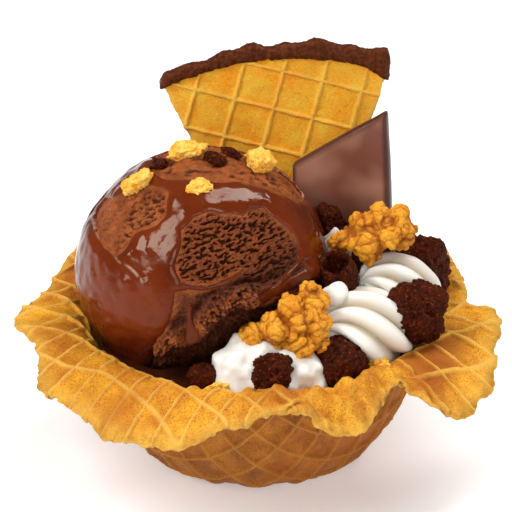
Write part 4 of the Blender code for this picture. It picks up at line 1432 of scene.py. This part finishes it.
dollop = melt_balls([(from_picture(*lobe[:3]), lobe[3]) for lobe in DOLLOP_LOBES], DOLLOP_VOXEL)
soften = dollop.modifiers.new("soften", "SMOOTH")
soften.factor = 0.5
soften.iterations = DOLLOP_SMOOTHING
apply_modifier(dollop, "soften")
points = points_of(dollop)
torn_cream = 1.2 * grain(points, 5 * MM, 98) + 0.5 * grain(points, 2.4 * MM, 99)
push_out(dollop, torn_cream)
# Painted shade at the dollop's foot and in the hollows of its torn skin
foot_shade = 0.8 * (1 - eased(36 * MM, 39 * MM, points[:, 2]))
set_attribute(dollop, "crease_shade", foot_shade + np.clip(-0.2 * torn_cream, 0, 0.2))
serve(dollop, "front_dollop", whipped_cream, "cream", "cream_front")

# %% [markdown]
# Brownie is dark and crumbly, with small reddish specks that are painted glints on its crumbs. Its
# light is dim and warm, because crumbs this small swallow most of it.

# %% Brownie material
brownie, tree, shader, place = new_material("brownie")
tone, height = add_baked_grain(
    tree, place, 300, 1700, colour(40, 10, 3), colour(86, 28, 10), colour(20, 4, 2), 0.8,
)
# Painted glints: small reddish specks on the crumbs
tone = blend(tree, patches(tree, place, 1100, 2.0, 0.58, 0.70), tone, colour(126, 56, 26))
feed(tree, shader, {
    "Base Color": tone, "Roughness": 0.45, "Specular Tint": (1, 0.72, 0.5, 1), "Specular IOR Level": 0.105,
})
raise_bumps(tree, shader, height, 0.0008)

# %% [markdown]
# Each piece of brownie is a ball of even triangles cut flat on a few sides, as a torn-off bite is,
# and covered with small crumbs, creases and pores. Cutting a cube up would leave straight edges that
# no brownie has, so the flat sides are blended into the ball.

# %% Bake the brownie pieces
LUMP_DETAIL = 6
EDGE_SHARPNESS = 9
CORNER_REACH = 1.12  # how far a corner between flat sides may stick out, as a share of the radii


def random_way(draw):
    return Vector([draw.gauss(0, 1) for _ in range(3)]).normalized()


def put(obj, local, centre, tilt):
    """Turns points by a tilt in degrees and moves them to a centre in millimetres."""
    turn = np.array(Euler([math.radians(angle) for angle in tilt]).to_matrix())
    set_points(obj, np.array(centre) * MM + local @ turn.T)


def lump(centre, radii, tilt, seed, cuts, detail=LUMP_DETAIL):
    """A round lump, or with cuts a broken-off piece that is flat on a few random sides."""
    obj = unit_ball(detail)
    unit = unit_directions(obj)
    if cuts:
        draw = random.Random(seed)
        inverse = np.full(len(unit), (1 / CORNER_REACH) ** EDGE_SHARPNESS)
        for _ in range(cuts):
            facing = np.clip(unit @ np.array(random_way(draw)), 0, 1)
            inverse += (facing / draw.uniform(0.72, 0.95)) ** EDGE_SHARPNESS
        knobs = 0.17 * grain(unit, 0.6, seed) + 0.14 * grain(unit, 0.28, seed + 3)
        swell = inverse ** (-1 / EDGE_SHARPNESS) * (1 + knobs)
    else:
        swell = 1 + 0.03 * (grain(unit, 0.55, seed) + 0.5 * grain(unit, 0.28, seed + 3))
    put(obj, unit * swell[:, None] * np.array(radii) * MM, centre, tilt)
    return obj


def crumble_skin(obj, size, depth, seed, grooves=0):
    """Covers a piece with small rounded crumbs, creases between them and a few deeper pores."""
    points = points_of(obj)
    out = crumbs(points, size * MM, seed) - 0.5 + 0.7 * grain(points, size * 2.5 * MM, seed + 1)
    out -= np.clip(grain(points, size * 1.6 * MM, seed + 2) * 2.2 - 0.5, 0, 1)
    if grooves:
        stretched = points * np.array((1, 1, 0.22))
        out -= grooves * np.clip(grain(stretched, 1.3 * MM, seed + 4) * 3, 0, 1)
    push_out(obj, out * depth)


BROWNIES = (
    # name, node, centre, radii, tilt, seed, cuts, grooves
    ("ball_of_brownie", "brownie_ball", (23.4, -32.6, 41.9), (8.1, 7.8, 8.3), (0, 0, 0), 11, 0, 1.8),
    ("bite_of_brownie", "brownie_bite", (4.4, -44.8, 44.8), (6.1, 5.1, 5.5), (0, 0, 0), 5, 5, 0),
    ("brownie_on_right", "brownie_right", (45.4, -18.8, 50.9), (9.6, 7.6, 8.0), (0, 25, 20), 23, 8, 0),
    ("brownie_on_far_side", "brownie_far", (47.3, 5, 53.0), (8.0, 8, 9.6), (0, -20, 0), 33, 7, 0),
    ("brownie_behind_roll", "brownie_behind", (20.4, 12.0, 64.4), (5.2, 4.6, 5.6), (0, 0, 0), 15, 8, 0),
    ("brownie_by_slab", "brownie_slab_side", (30.2, 7.8, 64.5), (4.8, 4.2, 5.6), (0, 0, 0), 17, 8, 0),
    ("brownie_at_back", "brownie_rear", (9, 42.5, 42.5), (6.7, 5.2, 5.8), (0, 0, 0), 19, 8, 0),
    ("bean", "chocolate_bean", (-14.7, -38.2, 40.9), (4.6, 3.6, 3.9), (0, 0, 0), 6, 0, 0),
)
for name, node, centre, radii, tilt, seed, cuts, grooves in BROWNIES:
    piece = lump(centre, radii, tilt, seed, cuts)
    crumb_size, crumb_depth = (0.85, 0.75) if cuts else (0.6, 0.35)
    crumble_skin(piece, crumb_size, crumb_depth, seed, grooves)
    serve(piece, name, brownie, "brownie", node)

# %% [markdown]
# One piece is rolled, with a hollow in its end. A circle is extruded and scaled ring by ring along
# the roll, back into the hollow, and the ends are closed with a fan of triangles.

# %% Brownie roll
ROLL_CENTRE = (23.4, -12, 58.9)  # millimetres
ROLL_TILT = (22, -10, 0)
ROLL_RADIUS = 5.1 * MM
ROLL_LENGTH = 12.5 * MM
ROLL_SIDES = 48
ROLL_PROFILE = (  # radius and place along the roll, from the hollow to the foot
    (0.1, 0.0), (0.45, 0.02), (0.64, 0.2), (0.7, 0.4), (0.78, 0.53), (0.9, 0.54), (1.01, 0.44),
    (1.06, 0.2), (1.06, 0.0), (1.03, -0.2), (0.95, -0.38), (0.7, -0.5), (0.3, -0.55),
)
bpy.ops.mesh.primitive_circle_add(vertices=ROLL_SIDES, radius=1, fill_type="NOTHING")
roll = bpy.context.object
edit_points(roll, np.ones(ROLL_SIDES, bool))
for step in range(len(ROLL_PROFILE) - 1):
    bpy.ops.mesh.extrude_region_move(TRANSFORM_OT_translate={"value": (0, 0, -1)})
done_editing()
points = points_of(roll)
ring_index = np.rint(-points[:, 2]).astype(int)
profile = np.array(ROLL_PROFILE)[ring_index]
points[:, :2] *= profile[:, :1] * ROLL_RADIUS
points[:, 2] = profile[:, 1] * ROLL_LENGTH
set_points(roll, points)
for end in (0, len(ROLL_PROFILE) - 1):
    added = len(roll.data.vertices) - len(ring_index)
    edit_points(roll, np.concatenate([ring_index == end, np.zeros(added, bool)]))
    bpy.ops.mesh.edge_face_add()
    bpy.ops.mesh.poke()
    done_editing()
edit_points(roll, np.ones(len(roll.data.vertices), bool))
bpy.ops.mesh.normals_make_consistent(inside=False)
bpy.ops.mesh.subdivide(number_cuts=3, smoothness=0.6)
done_editing()
put(roll, points_of(roll), ROLL_CENTRE, ROLL_TILT)
push_out(roll, 0.6 * grain(points_of(roll), 4 * MM, 5))
crumble_skin(roll, 0.85, 0.6, 15)
serve(roll, "rolled_brownie", brownie, "brownie", "brownie_roll")

# %% [markdown]
# The clusters are puffed crumbs stuck together with caramel. Their tone is the baked grain again,
# in gold, and the folds between the lumps are painted darker, as shade.

# %% Cluster material
cluster_crunch, tree, shader, place = new_material("cluster_crunch")
tone, height = add_baked_grain(
    tree, place, 240, 2200, colour(222, 134, 22), colour(252, 180, 52), colour(176, 90, 12), 0.5,
)
# Painted shade in the folds between the lumps
tone = blend(tree, times(tree, attribute(tree, "fold_shade"), 0.85), tone, colour(146, 64, 5))
feed(tree, shader, {"Base Color": tone, "Roughness": 0.55, "Specular IOR Level": 0.2})
raise_bumps(tree, shader, height, 0.0005)

# %% [markdown]
# Each cluster is built from balls as the dollop was, placed where the picture shows its lumps, with
# small ones sown over the big ones. It isn't smoothed. Its skin billows instead: the size of a wavy
# pattern, without its sign, gives round lumps with sharp folds between them.

# %% Stick the clusters together
FRONT_LOBES = (
    # column and row of the picture, depth along Y and radius in millimetres
    (309, 291, -27.5, 2.5), (314, 303, -29, 3.6), (290, 309, -31, 3.9), (313, 321, -32, 4.3),
    (301, 320, -34, 3.4), (273, 321, -32.5, 3.2), (260, 332, -33.5, 3.7), (277, 334, -35.5, 3.3),
    (301, 343, -36, 3.8), (317, 339, -34, 3.2), (250, 335, -33, 2.7), (290, 330, -34.5, 3.5),
    (288, 344, -35, 2.7), (300, 330, -28, 5.0), (280, 325, -28, 4.5), (268, 341, -33, 2.6),
)
BACK_LOBES = (
    (335, 243, -4, 2.7), (346, 240, -4, 3.2), (362, 226, -2, 3.9), (379, 219, -1, 3.5),
    (397, 221, -2, 3.8), (405, 232, -3, 3.1), (386, 235, -5, 3.9), (365, 250, -6.5, 3.1),
    (366, 239, -5, 3.6), (376, 243, -5, 3.2), (396, 238, -4, 3.2), (388, 226, 2, 4.2),
    (370, 230, 2, 4.0), (372, 256, -7, 2.2), (352, 234, -2, 3.2),
)
CLUSTERS = (
    ("front_cluster", "cluster_front", FRONT_LOBES, 3),
    ("back_cluster", "cluster_back", BACK_LOBES, 8),
)
SMALL_LUMPS = 7
CLUSTER_VOXEL = 0.34 * MM


def cluster_balls(lobes, seed):
    """Centres and radii, in millimetres, of the balls that make up one cluster."""
    draw = random.Random(seed)
    balls = []
    for column, row, depth, radius in lobes:
        place = from_picture(column, row, depth)
        balls.append((place, radius))
        for _ in range(SMALL_LUMPS):
            way = random_way(draw)
            small = draw.uniform(1.0, 2.0)
            balls.append((place + way * (radius - small * 0.6), small))
    return balls


def folds_between(points, lobes):
    """1 in the fold where two lobes of a cluster meet, and near 0 on top of a lobe."""
    gaps = [
        np.linalg.norm(points / MM - np.array(from_picture(column, row, depth)), axis=1) - radius
        for column, row, depth, radius in lobes
    ]
    return np.exp(-((np.sort(gaps, axis=0)[1] / 0.9) ** 2))


for name, node, lobes, seed in CLUSTERS:
    cluster = melt_balls(cluster_balls(lobes, seed), CLUSTER_VOXEL)
    points = points_of(cluster)
    wide, narrow = np.abs(grain(points, 6.5 * MM, seed)), np.abs(grain(points, 2.8 * MM, seed + 1))
    # Painted shade where lobes meet and along the folds of the billows
    shade_in_creases = 0.4 * folds_between(points, lobes) + bell(wide, 0.09) + 0.7 * bell(narrow, 0.08)
    set_attribute(cluster, "fold_shade", np.clip(shade_in_creases, 0, 1))
    fine = crumbs(points, 0.8 * MM, seed + 2) - 0.5 + 0.6 * grain(points, 0.7 * MM, seed + 3)
    push_out(cluster, 3.2 * np.minimum(wide, 0.45) + 1.6 * np.minimum(narrow, 0.4) + 0.55 * fine - 1.0)
    serve(cluster, name, cluster_crunch, "cluster", node)

# %% [markdown]
# Golden crumbs are the palest baked thing here: broken bits of the same crunch without its caramel.

# %% Crumb material
golden_crumb, tree, shader, place = new_material("golden_crumb")
tone, height = add_baked_grain(
    tree, place, 300, 1900, colour(250, 168, 36), colour(255, 216, 108), colour(228, 136, 20), 0.5,
)
feed(tree, shader, {"Base Color": tone, "Roughness": 0.6, "Specular IOR Level": 0.2})
raise_bumps(tree, shader, height, 0.0004)

# %% [markdown]
# Loose golden crumbs and thin dark flakes lie on the scoop. Each is a small lump turned so that its
# thin way points out of the scoop, resting where the plain model has it. Dropping them with a
# simulation would be livelier, but they would land somewhere else than on the picture.

# %% Drop the crumbs and flakes
CRUMB_CUTS = 7
CRUMB_DETAIL = 5
REST_SHARE = 0.6  # how much of its own thickness a crumb rests above the skin
TOPPINGS_ON_SCOOP = (
    # name, node, azimuth, elevation, radii, spin, seed
    ("left_crumb", "crumb_left", -165, 57, (5.6, 3.0, 2.8), 65, 41),
    ("top_crumb", "crumb_top", 130, 80, (5.4, 3.2, 2.6), -15, 42),
    ("right_crumb", "crumb_right", 8, 63, (4.4, 3.8, 3.4), 30, 43),
    ("small_crumb", "crumb_small", -92, 66, (3.8, 2.8, 2.2), 10, 44),
    ("left_flake", "flake_left", 170, 70, (4.0, 2.4, 1.3), 20, 51),
    ("middle_flake", "flake_middle", -4, 84, (3.8, 2.8, 1.4), 60, 52),
    ("back_flake", "flake_back", 40, 72, (5.0, 2.2, 1.1), -20, 53),
)
LOOSE_CRUMBS = (
    ("front_crumb", "crumb_front", (-10.6, -43.2, 39.6), (4.2, 2.0, 1.9), (0, -12, 0), 45),
    ("side_crumb", "crumb_side", (34.8, -31.4, 41.4), (3.1, 2.2, 2.4), (0, 0, 0), 46),
)


def crumb(name, node, material, slot, centre, radii, tilt, seed):
    piece = lump(centre, radii, tilt, seed, CRUMB_CUTS, CRUMB_DETAIL)
    crumble_skin(piece, 0.95, 0.75, seed)
    serve(piece, name, material, slot, node)


for name, node, azimuth, elevation, radii, spin, seed in TOPPINGS_ON_SCOOP:
    turn, climb = math.radians(azimuth), math.radians(elevation)
    out = np.array((math.cos(climb) * math.cos(turn), math.cos(climb) * math.sin(turn), math.sin(climb)))
    centre = (scoop_skin(out[None])[0] + out * radii[2] * REST_SHARE * MM) / MM
    lie = (Matrix(turned_towards(out)) @ Matrix.Rotation(math.radians(spin), 3, "Z")).to_euler()
    tilt = [math.degrees(angle) for angle in lie]
    if node.startswith("flake"):
        crumb(name, node, brownie, "brownie", centre, radii, tilt, seed)
    else:
        crumb(name, node, golden_crumb, "crumb", centre, radii, tilt, seed)
for name, node, centre, radii, tilt, seed in LOOSE_CRUMBS:
    crumb(name, node, golden_crumb, "crumb", centre, radii, tilt, seed)

# %% [markdown]
# Fudge fills the bowl and shows only between the pieces, dark and wet. The plain model's fudge has
# the right outline, so a copy of it is merged, remeshed finely and given soft waves.

# %% Fudge
FUDGE_FACE_SIZE = 0.8 * MM
SAME_SPOT = 0.00001
fudge_gloss, tree, shader, place = new_material("fudge_gloss")
feed(tree, shader, {
    "Base Color": blend(tree, clouds(tree, place, 90), colour(44, 18, 9), colour(78, 34, 17)),
    "Roughness": 0.22, "Coat Weight": 0.5,
})
pick(frame["nodes"]["fudge_fill"])
bpy.ops.object.duplicate()
fudge = bpy.context.object
fudge.parent = None
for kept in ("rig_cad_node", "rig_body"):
    if kept in fudge:
        del fudge[kept]
edit_points(fudge, np.ones(len(fudge.data.vertices), bool))
bpy.ops.mesh.remove_doubles(threshold=SAME_SPOT)
done_editing()
even_skin(fudge, FUDGE_FACE_SIZE)
points = points_of(fudge)
push_out(fudge, 0.5 * grain(points, 6 * MM, 55) * eased(34 * MM, 37 * MM, points[:, 2]))
serve(fudge, "poured_fudge", fudge_gloss, "fudge", "fudge_fill")
